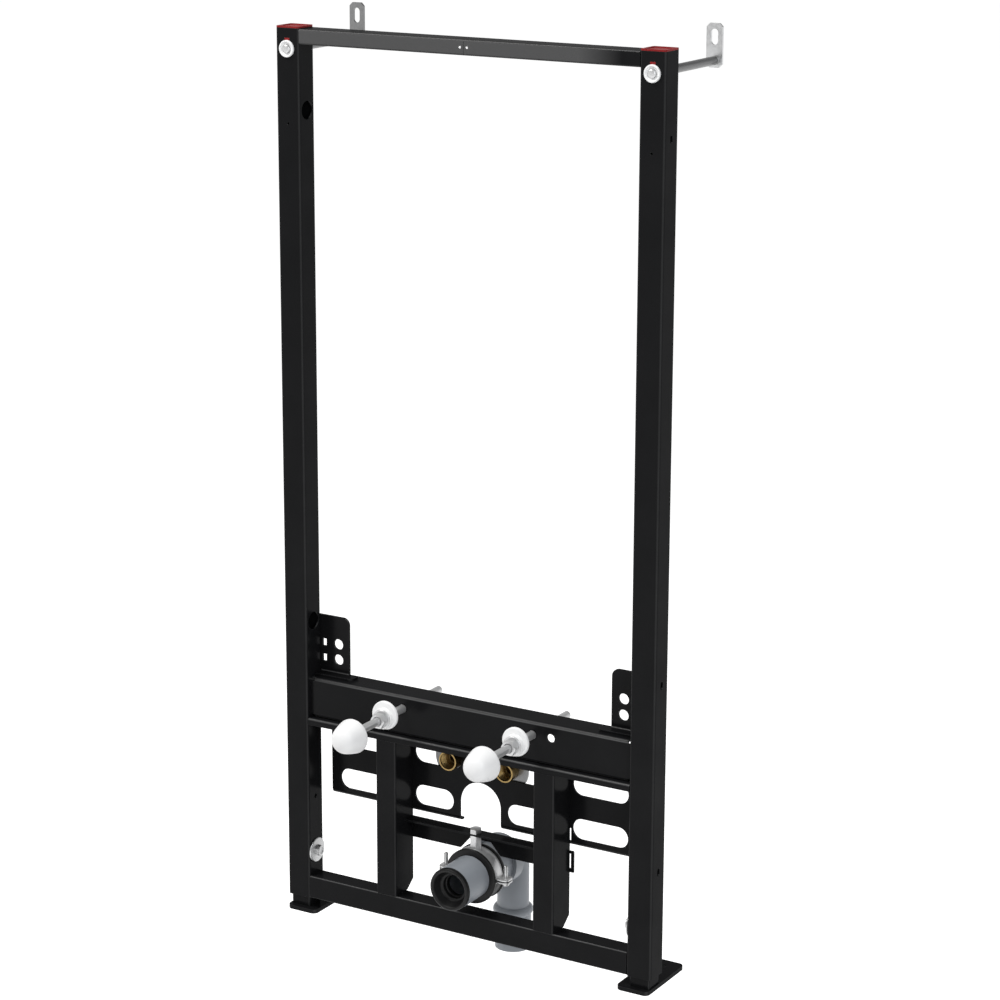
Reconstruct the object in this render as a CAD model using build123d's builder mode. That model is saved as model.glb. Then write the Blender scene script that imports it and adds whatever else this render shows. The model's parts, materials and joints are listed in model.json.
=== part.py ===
from build123d import *
import os

os.makedirs("parts", exist_ok=True)

# Installation frame for a wall-hung bidet, in millimetres.
# X runs across the frame, Y towards the wall, Z up.
# The origin is on the wall face of the right wall plate, on the axis of its anchor rod.

# Frame layout, heights above the floor
frame_width = 510.0
frame_height = 1094.0
tube_size = 32.0
axis_gap = frame_width - tube_size
anchor_drop = 24.0
wall_reach = 150.0
floor = anchor_drop - frame_height
left_x = -axis_gap
mid_x = -axis_gap / 2
front = -wall_reach
mid_plane = Plane.YZ.offset(mid_x)

# Upright tubes
tube_wall = 2.0
tube_corner = 3.5
tube_bore = tube_size - 2 * tube_wall
tube_low = 18.0
tube_top = frame_height
back = front + tube_size
tube_y = front + tube_size / 2
inner_x = -tube_size / 2
access_r = 11.0
access_drop = 96.0
access_high = tube_top - access_drop
access_mid = 375.0
access_low = 148.0
screw_slot_w = 6.0
screw_slot_l = 10.0
pin_r = 1.6
pin_drop = 111.0
pin_height = tube_top - pin_drop
latch_w = 7.0
latch_h = 3.4
latch_drop = 13.0
latch_height = tube_top - latch_drop

# Top and bottom bars
bar_wall = 1.5
bar_corner = 2.5
bar_inset = 0.5
top_bar_drop = 0.5
top_bar_h = 18.0
top_bar_high = tube_top - top_bar_drop
top_bar_low = top_bar_high - top_bar_h
top_bar_deep = 30.0
bottom_bar_h = 29.0
bottom_bar_low = tube_low
bottom_bar_high = bottom_bar_low + bottom_bar_h
bottom_bar_deep = 26.0
centre_mark_r = 1.6
centre_mark_gap = 9.2

# Bidet carrier bar, a channel open to the wall
carrier_low = 254.0
carrier_h = 50.5
carrier_high = carrier_low + carrier_h
carrier_set = 8.0
carrier_deep = 34.0
carrier_sheet = 2.5
carrier_bend = 4.0
relief = 6.0
stud_gap = 180.0
stud_gap_wide = 230.0
stud_drop = 16.5
stud_height = carrier_high - stud_drop
stud_r = 5.0
stud_clear = 0.25

# Posts under the carrier
post_in = 96.0
post_wide = 28.0
post_out = post_in + post_wide
post_sheet = 2.0
post_bend = 3.0
post_chamfer_y = 14.0
post_chamfer_z = 11.0

# Connection plate behind the posts, its elbows in the inner ends of the upper slots
elbow_x = 39.5
plate_set = 40.5
plate_sheet = 2.5
plate_h = 108.0
plate_low = carrier_low - plate_h
plate_end = 8.6
plate_half = axis_gap / 2 - tube_size / 2 - plate_end
plate_bend = 4.0
plate_lip = 8.5
plate_foot = 10.0
slot_h = 26.0
slot_rise = 23.0
slot_pitch = 55.0
slot_low = plate_low + slot_rise
slot_high = slot_low + slot_pitch
arch_r = 28.5
arch_rise = 54.0
arch_top = plate_low + arch_rise
arch_margin = 9.2
post_margin = 3.4
edge_margin = 12.8
slot_in_a = arch_r + arch_margin
slot_in_b = post_in - post_margin
slot_tap_a = elbow_x - slot_h / 2
slot_out_a = post_out + post_margin
slot_out_b = plate_half - edge_margin
window_w = 12.0
window_h = 18.0
window_show = 1.5
window_rise = 4.0
window_x = post_out + window_show - window_w / 2
window_height = plate_low + window_rise + window_h / 2

# Clamp bar behind and between the posts
clamp_bar_drop = 6.0
clamp_bar_high = plate_low - clamp_bar_drop
clamp_bar_tab = 3.5
clamp_bar_half = post_out + window_show + clamp_bar_tab
clamp_bar_gap = 0.3
clamp_bar_web = 28.0
clamp_window_h = 19.0
clamp_bar_deep = 19.5
clamp_bar_sheet = 2.5
clamp_bar_bend = 3.5
cut_low_half = 28.0
cut_top_half = 15.0
cut_high = 15.0

# Side ears on the carrier
ear_sheet = 3.0
ear_bend = 5.0
ear_reach = 57.0
ear_lap = 8.0
ear_h = 74.5
ear_top = carrier_high + ear_h
ear_corner = 9.0
ear_hole_r = 6.75
ear_hole_x = 41.3
ear_hole_rise = 19.9
ear_hole_pitch = 19.6
ear_hole_a = carrier_high + ear_hole_rise
ear_hole_b = ear_hole_a + ear_hole_pitch
ear_window_w = 6.0
ear_window_h = 9.5
ear_window_x = 21.0
ear_foot_over = 12.0
ear_foot_reach = ear_reach + ear_foot_over
ear_foot_deep = 17.0
ear_foot_corner = 8.0

# Feet
foot_gap = 1.0
foot_size = tube_size - 2 * tube_wall - 2 * foot_gap
foot_wall = 2.0
foot_bore = foot_size - 2 * foot_wall
foot_corner = 2.5
foot_length = 295.0
foot_plate_t = 5.0
foot_plate_w = 42.0
foot_plate_l = 95.0
foot_out = 15.0
foot_lead = 5.0
foot_plate_corner = 7.0
floor_hole_r = 5.5
floor_hole_x = -6.5
floor_hole_end = 17.0
floor_hole_y = front - foot_lead + foot_plate_l - floor_hole_end
foot_bolt_rise = 59.0
foot_bolt_height = tube_low + foot_bolt_rise
foot_bolt_r = 4.0
foot_bolt_flange_r = 15.5
foot_bolt_flange = 2.0
foot_bolt_hex = 13.0
foot_bolt_head = 5.5
foot_bolt_clear = 0.3

# Wall anchors
wall_plate_w = 20.0
wall_plate_t = 3.0
wall_plate_low = -8.0
wall_plate_high = 41.7
wall_plate_chamfer = 4.0
wall_slot_w = 8.7
wall_slot_l = 18.0
wall_slot_in = 15.2
wall_slot_z = wall_plate_high - wall_slot_in
rod_r = 5.0
rod_clear = 0.3
washer_r = 10.0
washer_t = 2.5
washer_edge = 1.0
bolt_head_r = 6.3
bolt_head_t = 1.5
bush_r = 8.0
bush_flange_r = 10.5
bush_flange = 3.0
bush_deep = 6.0

# End caps
cap_rise = 2.0
cap_tray = 1.2
cap_tray_corner = 2.5
cap_rim = 2.5
cap_plug_wall = 1.6
cap_plug_deep = 9.0
cap_clear = 0.2
plug_deep = tube_bore - 2 * cap_clear
plug_wide = plug_deep - tube_wall
cap_tongue_w = 6.4
cap_tongue_tail = 1.3
cap_tongue = latch_drop + latch_h / 2 + cap_tongue_tail

# Stud fittings, depths in front of the uprights
stud_front = 112.0
stud_rear = 92.0
stud_chamfer = 0.8
disc_r = 17.5
disc_t = 4.0
disc_edge = 1.5
disc_set = 28.5
disc_boss_r = 12.8
disc_boss = 4.5
disc_face = disc_set + disc_t + disc_boss
nut_washer_r = 11.8
nut_washer_t = 2.0
nut_hex = 17.0
nut_t = 9.0
cover_r = 20.6
cover_nose_r = 18.6
cover_edge = 1.5
cover_lap = 13.7
cover_side = 20.0
cover_dome = 9.0
cover_rear = stud_front - cover_lap
cover_nose = cover_rear + cover_side
cover_front = cover_nose + cover_dome

# Water elbows, depths behind the front of the uprights
elbow_r = 12.0
elbow_bore_r = 10.2
elbow_bore_deep = 15.0
elbow_way_r = 6.0
elbow_stand = 11.5
elbow_front = plate_set - elbow_stand
elbow_rear = 19.5
elbow_axis = plate_set + elbow_rear
elbow_washer_r = 25.0
elbow_washer_t = 2.5
elbow_flange_r = 17.0
elbow_flange = 3.0
elbow_leg_r = 9.5
elbow_leg_h = 40.0
elbow_leg_top = slot_high + elbow_leg_h

# Waste bend and seal
pipe_drop = 52.0
pipe_height = clamp_bar_high - pipe_drop
bell_r = 26.5
bell_wall = 2.5
bell_reach = 27.0
bell_front = -bell_reach
bead_r = 31.5
bead_set = 33.5
bead_w = 18.0
bead_front = plate_set + bead_set
bead_rear = bead_front + bead_w
drop_out = 28.0
drop_y = bead_rear + drop_out
drop_r = 20.0
drop_wall = 2.0
bend_r = 22.0
spigot_r = 22.5
spigot_top = 16.5
spigot_h = 55.5
spigot_low = spigot_top - spigot_h
spigot_ring_r = 25.0
spigot_ring = 11.0
seal_lip = 6.0
seal_deep = 18.0
seal_rim = 5.0
seal_cone = 4.0
seal_ledge = 3.0
seal_step = 1.5
seal_mouth_r = bell_r - seal_rim
seal_throat_r = seal_mouth_r - seal_cone
seal_step_r = seal_throat_r - seal_ledge
seal_way_r = seal_step_r - seal_step
seal_cone_deep = 6.0
seal_step_deep = 11.4

# Pipe clamp
clamp_lead = 10.5
clamp_y = plate_set - clamp_lead
lining_w = 24.0
lining_t = 4.5
lining_lip = 0.4
lining_gap = 0.25
band_t = 2.0
band_w = 14.0
lip_w = (lining_w - band_w) / 2 - lining_gap
band_gap = 4.0
clamp_r = bell_r + lining_t + band_t
lug_reach = 13.0
lug_t = 2.0
lug_x = clamp_r + lug_reach / 2
clamp_screw_r = 2.5
hanger_r = 4.0
hanger_nut_hex = 13.0
hanger_head_t = 6.0
hanger_gap = 4.5
hanger_h = pipe_drop - clamp_bar_sheet - clamp_r
hanger_deep = hanger_h - hanger_gap

# Right upright: square tube with access holes, screw slots and anchor holes
with BuildPart() as right_upright:
    with BuildSketch(Plane.XY.offset(floor + tube_low)):
        with Locations((0, tube_y)):
            RectangleRounded(tube_size, tube_size, tube_corner)
            RectangleRounded(tube_bore, tube_bore, tube_corner - tube_wall, mode=Mode.SUBTRACT)
    extrude(amount=tube_top - tube_low)
    with BuildSketch(Plane.YZ.offset(inner_x)):
        with Locations((tube_y, floor + access_high), (tube_y, floor + access_mid)):
            Circle(access_r)
        with Locations((tube_y, floor + access_low)):
            Circle(screw_slot_w / 2)
        with Locations((tube_y, floor + foot_bolt_height)):
            Circle(foot_bolt_r + foot_bolt_clear)
    extrude(amount=tube_wall, mode=Mode.SUBTRACT)
    with BuildSketch(Plane.YZ.offset(tube_size / 2 - tube_wall)):
        with Locations(
            (tube_y, floor + access_high), (tube_y, floor + access_mid), (tube_y, floor + access_low)
        ):
            SlotOverall(screw_slot_l, screw_slot_w, rotation=90)
    extrude(amount=tube_wall, mode=Mode.SUBTRACT)
    with BuildSketch(Plane.XZ.offset(-front)):
        Circle(rod_r + rod_clear)
        with Locations((0, floor + pin_height)):
            Circle(pin_r)
        with Locations((0, floor + latch_height)):
            Rectangle(latch_w, latch_h)
    extrude(amount=-tube_wall, mode=Mode.SUBTRACT)
    with BuildSketch(Plane.XZ.offset(-back)):
        Circle(bush_r + rod_clear)
    extrude(amount=tube_wall, mode=Mode.SUBTRACT)
right_upright.part.label = "right_upright"
export_step(right_upright.part, "parts/right_upright.step")

with BuildPart() as left_upright:
    mirror(right_upright.part, about=mid_plane)
left_upright.part.label = "left_upright"
export_step(left_upright.part, "parts/left_upright.step")

# End cap: tray with a raised rim, a hollow plug and a latch tongue in the front wall
with BuildPart() as right_end_cap:
    with BuildSketch(Plane.XY.offset(floor + tube_top)):
        with Locations((0, tube_y)):
            RectangleRounded(tube_size, tube_size, tube_corner)
    extrude(amount=cap_rise)
    with BuildSketch(Plane.XY.offset(floor + tube_top + cap_rise)):
        with Locations((0, tube_y)):
            RectangleRounded(tube_size - 2 * cap_rim, tube_size - 2 * cap_rim, cap_tray_corner)
    extrude(amount=-cap_tray, mode=Mode.SUBTRACT)
    with BuildSketch(Plane.XY.offset(floor + tube_top)):
        with Locations((0, tube_y)):
            Rectangle(plug_wide, plug_deep)
            Rectangle(plug_wide - 2 * cap_plug_wall, plug_deep - 2 * cap_plug_wall, mode=Mode.SUBTRACT)
    extrude(amount=-cap_plug_deep)
    with BuildSketch(Plane.XY.offset(floor + tube_top)):
        with Locations((0, front + tube_wall + cap_clear + cap_plug_wall / 2)):
            Rectangle(cap_tongue_w, cap_plug_wall)
    extrude(amount=-cap_tongue)
    with BuildSketch(Plane.XZ.offset(-front - tube_wall - cap_clear)):
        with Locations((0, floor + latch_height)):
            Rectangle(latch_w - 2 * cap_clear, latch_h - 2 * cap_clear)
    extrude(amount=tube_wall + cap_clear)
right_end_cap.part.label = "right_end_cap"
export_step(right_end_cap.part, "parts/right_end_cap.step")

with BuildPart() as left_end_cap:
    mirror(right_end_cap.part, about=mid_plane)
left_end_cap.part.label = "left_end_cap"
export_step(left_end_cap.part, "parts/left_end_cap.step")

# Top bar: rectangular tube between the uprights with two centre-mark holes
with BuildPart() as top_bar:
    with BuildSketch(Plane.YZ.offset(left_x - inner_x)):
        with Locations((front + bar_inset + top_bar_deep / 2, floor + top_bar_low + top_bar_h / 2)):
            RectangleRounded(top_bar_deep, top_bar_h, bar_corner)
            RectangleRounded(
                top_bar_deep - 2 * bar_wall,
                top_bar_h - 2 * bar_wall,
                bar_corner - bar_wall,
                mode=Mode.SUBTRACT,
            )
    extrude(amount=axis_gap - tube_size)
    with BuildSketch(Plane.XZ.offset(-front - bar_inset)):
        with Locations((mid_x, floor + top_bar_low + top_bar_h / 2)):
            with GridLocations(centre_mark_gap, 1, 2, 1):
                Circle(centre_mark_r)
    extrude(amount=-bar_wall, mode=Mode.SUBTRACT)
top_bar.part.label = "top_bar"
export_step(top_bar.part, "parts/top_bar.step")

# Bottom bar: rectangular tube between the uprights
with BuildPart() as bottom_bar:
    with BuildSketch(Plane.YZ.offset(left_x - inner_x)):
        with Locations((front + bar_inset + bottom_bar_deep / 2, floor + bottom_bar_low + bottom_bar_h / 2)):
            RectangleRounded(bottom_bar_deep, bottom_bar_h, bar_corner)
            RectangleRounded(
                bottom_bar_deep - 2 * bar_wall,
                bottom_bar_h - 2 * bar_wall,
                bar_corner - bar_wall,
                mode=Mode.SUBTRACT,
            )
    extrude(amount=axis_gap - tube_size)
bottom_bar.part.label = "bottom_bar"
export_step(bottom_bar.part, "parts/bottom_bar.step")

# Carrier bar: bent channel, open to the wall, with bend reliefs and stud holes
with BuildPart() as bidet_carrier_bar:
    with BuildSketch(Plane.YZ.offset(left_x - inner_x)):
        with BuildLine():
            spine = FilletPolyline(
                (front + carrier_set + carrier_deep, floor + carrier_low),
                (front + carrier_set, floor + carrier_low),
                (front + carrier_set, floor + carrier_high),
                (front + carrier_set + carrier_deep, floor + carrier_high),
                radius=carrier_bend,
            )
            offset(spine, amount=-carrier_sheet, side=Side.RIGHT, closed=True)
        make_face()
    extrude(amount=axis_gap - tube_size)
    with BuildSketch(Plane.XZ.offset(-front - carrier_set)):
        with Locations((mid_x, floor + carrier_low + carrier_h / 2)):
            with GridLocations(axis_gap - tube_size - relief, carrier_h - carrier_bend, 2, 2):
                Rectangle(relief, carrier_bend)
        with Locations((mid_x, floor + stud_height)):
            with GridLocations(stud_gap, 1, 2, 1):
                Circle(stud_r + stud_clear)
            with GridLocations(stud_gap_wide, 1, 2, 1):
                Circle(stud_r + stud_clear)
    extrude(amount=-carrier_bend, mode=Mode.SUBTRACT)
bidet_carrier_bar.part.label = "bidet_carrier_bar"
export_step(bidet_carrier_bar.part, "parts/bidet_carrier_bar.step")

# Connection plate: one bent sheet with a lip, a top flange, a slotted web with an arch and a foot flange
plate_web = carrier_low - plate_bend - plate_low
with BuildPart() as connection_plate:
    with BuildSketch(Plane.YZ.offset(left_x - inner_x)):
        with BuildLine():
            plate_spine = FilletPolyline(
                (front + bar_inset, floor + carrier_low - plate_lip),
                (front + bar_inset, floor + carrier_low),
                (front + plate_set + plate_sheet, floor + carrier_low),
                (front + plate_set + plate_sheet, floor + plate_low + plate_sheet),
                (front + plate_set + plate_foot, floor + plate_low + plate_sheet),
                radius=plate_bend,
            )
            offset(plate_spine, amount=-plate_sheet, side=Side.RIGHT, closed=True)
        make_face()
    extrude(amount=axis_gap - tube_size)
    with BuildSketch(Plane.XZ.offset(-front - plate_set)):
        for side in (-1, 1):
            with Locations((mid_x + side * (slot_in_a + slot_in_b) / 2, floor + slot_low)):
                SlotOverall(slot_in_b - slot_in_a, slot_h)
            with Locations((mid_x + side * (slot_tap_a + slot_in_b) / 2, floor + slot_high)):
                SlotOverall(slot_in_b - slot_tap_a, slot_h)
            with Locations(
                (mid_x + side * (slot_out_a + slot_out_b) / 2, floor + slot_low),
                (mid_x + side * (slot_out_a + slot_out_b) / 2, floor + slot_high),
            ):
                SlotOverall(slot_out_b - slot_out_a, slot_h)
            with Locations((mid_x + side * window_x, floor + window_height)):
                Rectangle(window_w, window_h)
            with Locations((mid_x + side * (plate_half + plate_end / 2), floor + plate_low + plate_web / 2)):
                Rectangle(plate_end, plate_web)
        with Locations((mid_x, floor + arch_top - arch_r)):
            Circle(arch_r)
        with Locations((mid_x, floor + (plate_low + arch_top - arch_r) / 2)):
            Rectangle(2 * arch_r, arch_top - arch_r - plate_low)
    extrude(amount=-plate_foot, mode=Mode.SUBTRACT)
connection_plate.part.label = "connection_plate"
export_step(connection_plate.part, "parts/connection_plate.step")

# Right post: bent channel, open to the wall, with a chamfered foot
with BuildPart() as right_post:
    with BuildSketch(Plane.XY.offset(floor + bottom_bar_high)):
        with BuildLine():
            post_spine = FilletPolyline(
                (mid_x + post_in, front + plate_set),
                (mid_x + post_in, front),
                (mid_x + post_in + post_wide, front),
                (mid_x + post_in + post_wide, front + plate_set),
                radius=post_bend,
            )
            offset(post_spine, amount=-post_sheet, side=Side.LEFT, closed=True)
        make_face()
    extrude(amount=carrier_low - plate_lip - bottom_bar_high)
    with BuildSketch(Plane.YZ.offset(mid_x + post_in)):
        with BuildLine():
            Polyline(
                (front + plate_set, floor + bottom_bar_high),
                (front + plate_set, floor + bottom_bar_high + post_chamfer_z),
                (front + plate_set - post_chamfer_y, floor + bottom_bar_high),
                close=True,
            )
        make_face()
    extrude(amount=post_wide, mode=Mode.SUBTRACT)
right_post.part.label = "right_post"
export_step(right_post.part, "parts/right_post.step")

with BuildPart() as left_post:
    mirror(right_post.part, about=mid_plane)
left_post.part.label = "left_post"
export_step(left_post.part, "parts/left_post.step")

# Clamp bar: bent angle, its web behind the posts and its flange between them, with a cut for the pipe clamp
clamp_bar_rear = front + plate_set + clamp_bar_sheet
clamp_bar_low = clamp_bar_high - clamp_bar_web
flange_half = post_in - clamp_bar_gap
with BuildPart() as clamp_bar:
    with BuildSketch(Plane.YZ.offset(mid_x - clamp_bar_half)):
        with BuildLine():
            clamp_spine = FilletPolyline(
                (clamp_bar_rear - clamp_bar_deep, floor + clamp_bar_high),
                (clamp_bar_rear, floor + clamp_bar_high),
                (clamp_bar_rear, floor + clamp_bar_low),
                radius=clamp_bar_bend,
            )
            offset(clamp_spine, amount=-clamp_bar_sheet, side=Side.RIGHT, closed=True)
        make_face()
    extrude(amount=2 * clamp_bar_half)
    with BuildSketch(Plane.XY.offset(floor + clamp_bar_high)):
        for side in (-1, 1):
            with Locations((mid_x + side * (flange_half + clamp_bar_half) / 2, front + plate_set / 2)):
                Rectangle(clamp_bar_half - flange_half, plate_set)
    extrude(amount=-clamp_bar_web, mode=Mode.SUBTRACT)
    with BuildSketch(Plane.XZ.offset(-front - plate_set)):
        with BuildLine():
            Polyline(
                (mid_x - cut_low_half, floor + clamp_bar_low),
                (mid_x - cut_top_half, floor + clamp_bar_low + cut_high),
                (mid_x + cut_top_half, floor + clamp_bar_low + cut_high),
                (mid_x + cut_low_half, floor + clamp_bar_low),
                close=True,
            )
        make_face()
        for side in (-1, 1):
            with Locations((mid_x + side * window_x, floor + clamp_bar_low + clamp_bar_web / 2)):
                Rectangle(window_w, clamp_window_h)
    extrude(amount=-clamp_bar_sheet, mode=Mode.SUBTRACT)
    with BuildSketch(Plane.XY.offset(floor + clamp_bar_high)):
        with Locations((mid_x, front + clamp_y)):
            Circle(hanger_r + rod_clear)
    extrude(amount=-clamp_bar_sheet, mode=Mode.SUBTRACT)
clamp_bar.part.label = "clamp_bar"
export_step(clamp_bar.part, "parts/clamp_bar.step")

# Right side ear: bent sheet, a plate behind the upright with a base flange on the carrier
ear_flange_front = back + ear_sheet - ear_foot_deep
with BuildPart() as right_side_ear:
    with BuildSketch(Plane.YZ.offset(-ear_foot_reach)):
        with BuildLine():
            ear_spine = FilletPolyline(
                (ear_flange_front, floor + carrier_high),
                (back + ear_sheet, floor + carrier_high),
                (back + ear_sheet, floor + ear_top),
                radius=ear_bend,
            )
            offset(ear_spine, amount=-ear_sheet, side=Side.LEFT, closed=True)
        make_face()
    extrude(amount=ear_foot_reach + ear_lap)
    with BuildSketch(Plane.XZ.offset(-ear_flange_front)):
        with Locations((-(ear_foot_reach + ear_reach) / 2, floor + (carrier_high + ear_sheet + ear_top) / 2)):
            Rectangle(ear_foot_reach - ear_reach, ear_top - carrier_high - ear_sheet)
    extrude(amount=-ear_foot_deep, mode=Mode.SUBTRACT)
    with BuildSketch(Plane.XY.offset(floor + carrier_high)):
        with Locations(((inner_x + ear_lap) / 2, (ear_flange_front + back) / 2)):
            Rectangle(ear_lap - inner_x, back - ear_flange_front)
    extrude(amount=ear_top - carrier_high, mode=Mode.SUBTRACT)
    ear_tip = right_side_ear.edges().filter_by(Axis.Y).group_by(Axis.Z)[-1].sort_by(Axis.X)[0]
    fillet(ear_tip, ear_corner)
    flange_tip = right_side_ear.edges().filter_by(Axis.Z).group_by(Axis.X)[0].sort_by(Axis.Y)[0]
    fillet(flange_tip, ear_foot_corner)
    with BuildSketch(Plane.XZ.offset(-back)):
        with Locations((-ear_hole_x, floor + ear_hole_a), (-ear_hole_x, floor + ear_hole_b)):
            Circle(ear_hole_r)
        with Locations((-ear_window_x, floor + ear_hole_a), (-ear_window_x, floor + ear_hole_b)):
            Rectangle(ear_window_w, ear_window_h)
    extrude(amount=-ear_sheet, mode=Mode.SUBTRACT)
right_side_ear.part.label = "right_side_ear"
export_step(right_side_ear.part, "parts/right_side_ear.step")

with BuildPart() as left_side_ear:
    mirror(right_side_ear.part, about=mid_plane)
left_side_ear.part.label = "left_side_ear"
export_step(left_side_ear.part, "parts/left_side_ear.step")

# Right foot: telescopic tube that runs in the upright
with BuildPart() as right_foot:
    with BuildSketch(Plane.XY.offset(floor + foot_plate_t)):
        with Locations((0, tube_y)):
            RectangleRounded(foot_size, foot_size, foot_corner)
            RectangleRounded(foot_bore, foot_bore, foot_corner - foot_wall, mode=Mode.SUBTRACT)
    extrude(amount=foot_length)
right_foot.part.label = "right_foot"
export_step(right_foot.part, "parts/right_foot.step")

with BuildPart() as left_foot:
    mirror(right_foot.part, about=mid_plane)
left_foot.part.label = "left_foot"
export_step(left_foot.part, "parts/left_foot.step")

# Right foot plate: floor plate under the foot, with a hole for the floor screw
with BuildPart() as right_foot_plate:
    with BuildSketch(Plane.XY.offset(floor)):
        with Locations((foot_out - foot_plate_w / 2, front - foot_lead + foot_plate_l / 2)):
            RectangleRounded(foot_plate_w, foot_plate_l, foot_plate_corner)
        with Locations((floor_hole_x, floor_hole_y)):
            Circle(floor_hole_r, mode=Mode.SUBTRACT)
    extrude(amount=foot_plate_t)
right_foot_plate.part.label = "right_foot_plate"
export_step(right_foot_plate.part, "parts/right_foot_plate.step")

with BuildPart() as left_foot_plate:
    mirror(right_foot_plate.part, about=mid_plane)
left_foot_plate.part.label = "left_foot_plate"
export_step(left_foot_plate.part, "parts/left_foot_plate.step")

# Foot bolt: flanged hexagon bolt in the inner face of the upright
with BuildPart() as right_foot_bolt:
    with BuildSketch(Plane.YZ.offset(inner_x)):
        with Locations((tube_y, floor + foot_bolt_height)):
            Circle(foot_bolt_flange_r)
    extrude(amount=-foot_bolt_flange)
    with BuildSketch(Plane.YZ.offset(inner_x - foot_bolt_flange)):
        with Locations((tube_y, floor + foot_bolt_height)):
            RegularPolygon(foot_bolt_hex / 2, 6, major_radius=False)
    extrude(amount=-foot_bolt_head)
    with BuildSketch(Plane.YZ.offset(inner_x)):
        with Locations((tube_y, floor + foot_bolt_height)):
            Circle(foot_bolt_r)
    extrude(amount=tube_wall + foot_gap - foot_bolt_clear)
right_foot_bolt.part.label = "right_foot_bolt"
export_step(right_foot_bolt.part, "parts/right_foot_bolt.step")

with BuildPart() as left_foot_bolt:
    mirror(right_foot_bolt.part, about=mid_plane)
left_foot_bolt.part.label = "left_foot_bolt"
export_step(left_foot_bolt.part, "parts/left_foot_bolt.step")

# Wall plate: strip with chamfered corners and an upright slot
with BuildPart() as right_wall_plate:
    with BuildSketch(Plane.XZ):
        with Locations((0, (wall_plate_low + wall_plate_high) / 2)):
            corners = Rectangle(wall_plate_w, wall_plate_high - wall_plate_low)
        chamfer(corners.vertices(), wall_plate_chamfer)
        with Locations((0, wall_slot_z)):
            SlotOverall(wall_slot_l, wall_slot_w, rotation=90, mode=Mode.SUBTRACT)
    extrude(amount=wall_plate_t)
right_wall_plate.part.label = "right_wall_plate"
export_step(right_wall_plate.part, "parts/right_wall_plate.step")

with BuildPart() as left_wall_plate:
    mirror(right_wall_plate.part, about=mid_plane)
left_wall_plate.part.label = "left_wall_plate"
export_step(left_wall_plate.part, "parts/left_wall_plate.step")

# Anchor rod: from the wall plate through the upright, with a round driving head in front
with BuildPart() as right_anchor_rod:
    with BuildSketch(Plane.XZ.offset(wall_plate_t)):
        Circle(rod_r)
    extrude(amount=-front - wall_plate_t)
    with BuildSketch(Plane.XZ.offset(-front + washer_t)):
        Circle(bolt_head_r)
    extrude(amount=bolt_head_t)
    with BuildSketch(Plane.XZ.offset(-front)):
        Circle(rod_r)
    extrude(amount=washer_t)
right_anchor_rod.part.label = "right_anchor_rod"
export_step(right_anchor_rod.part, "parts/right_anchor_rod.step")

with BuildPart() as left_anchor_rod:
    mirror(right_anchor_rod.part, about=mid_plane)
left_anchor_rod.part.label = "left_anchor_rod"
export_step(left_anchor_rod.part, "parts/left_anchor_rod.step")

# Anchor washer on the front face of the upright
with BuildPart() as right_anchor_washer:
    with BuildSketch(Plane.XZ.offset(-front)):
        Circle(washer_r)
        Circle(rod_r + rod_clear, mode=Mode.SUBTRACT)
    extrude(amount=washer_t)
    fillet(right_anchor_washer.faces().sort_by(Axis.Y)[0].outer_wire().edges(), washer_edge)
right_anchor_washer.part.label = "right_anchor_washer"
export_step(right_anchor_washer.part, "parts/right_anchor_washer.step")

with BuildPart() as left_anchor_washer:
    mirror(right_anchor_washer.part, about=mid_plane)
left_anchor_washer.part.label = "left_anchor_washer"
export_step(left_anchor_washer.part, "parts/left_anchor_washer.step")

# Anchor bush: flanged guide in the back wall of the upright
with BuildPart() as right_anchor_bush:
    with BuildSketch(Plane.XZ.offset(-back)):
        Circle(bush_flange_r)
        Circle(rod_r + rod_clear, mode=Mode.SUBTRACT)
    extrude(amount=-bush_flange)
    with BuildSketch(Plane.XZ.offset(-back)):
        Circle(bush_r)
        Circle(rod_r + rod_clear, mode=Mode.SUBTRACT)
    extrude(amount=bush_deep)
right_anchor_bush.part.label = "right_anchor_bush"
export_step(right_anchor_bush.part, "parts/right_anchor_bush.step")

with BuildPart() as left_anchor_bush:
    mirror(right_anchor_bush.part, about=mid_plane)
left_anchor_bush.part.label = "left_anchor_bush"
export_step(left_anchor_bush.part, "parts/left_anchor_bush.step")

# Stud: rod through the carrier bar
with BuildPart() as right_stud:
    with BuildSketch(Plane.XZ.offset(-front + stud_front)):
        with Locations((mid_x + stud_gap / 2, floor + stud_height)):
            Circle(stud_r)
    extrude(amount=-stud_front - stud_rear)
    chamfer(right_stud.edges().filter_by(GeomType.CIRCLE), stud_chamfer)
right_stud.part.label = "right_stud"
export_step(right_stud.part, "parts/right_stud.step")

with BuildPart() as left_stud:
    mirror(right_stud.part, about=mid_plane)
left_stud.part.label = "left_stud"
export_step(left_stud.part, "parts/left_stud.step")

# Stud disc: plastic washer that meets the bidet, with a boss for the nut
with BuildPart() as right_stud_disc:
    with BuildSketch(Plane.XZ.offset(-front + disc_set + disc_t)):
        with Locations((mid_x + stud_gap / 2, floor + stud_height)):
            Circle(disc_r)
            Circle(stud_r + stud_clear, mode=Mode.SUBTRACT)
    extrude(amount=-disc_t)
    fillet(right_stud_disc.faces().sort_by(Axis.Y)[0].outer_wire().edges(), disc_edge)
    with BuildSketch(Plane.XZ.offset(-front + disc_set + disc_t)):
        with Locations((mid_x + stud_gap / 2, floor + stud_height)):
            Circle(disc_boss_r)
            Circle(stud_r + stud_clear, mode=Mode.SUBTRACT)
    extrude(amount=disc_boss)
right_stud_disc.part.label = "right_stud_disc"
export_step(right_stud_disc.part, "parts/right_stud_disc.step")

with BuildPart() as left_stud_disc:
    mirror(right_stud_disc.part, about=mid_plane)
left_stud_disc.part.label = "left_stud_disc"
export_step(left_stud_disc.part, "parts/left_stud_disc.step")

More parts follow.
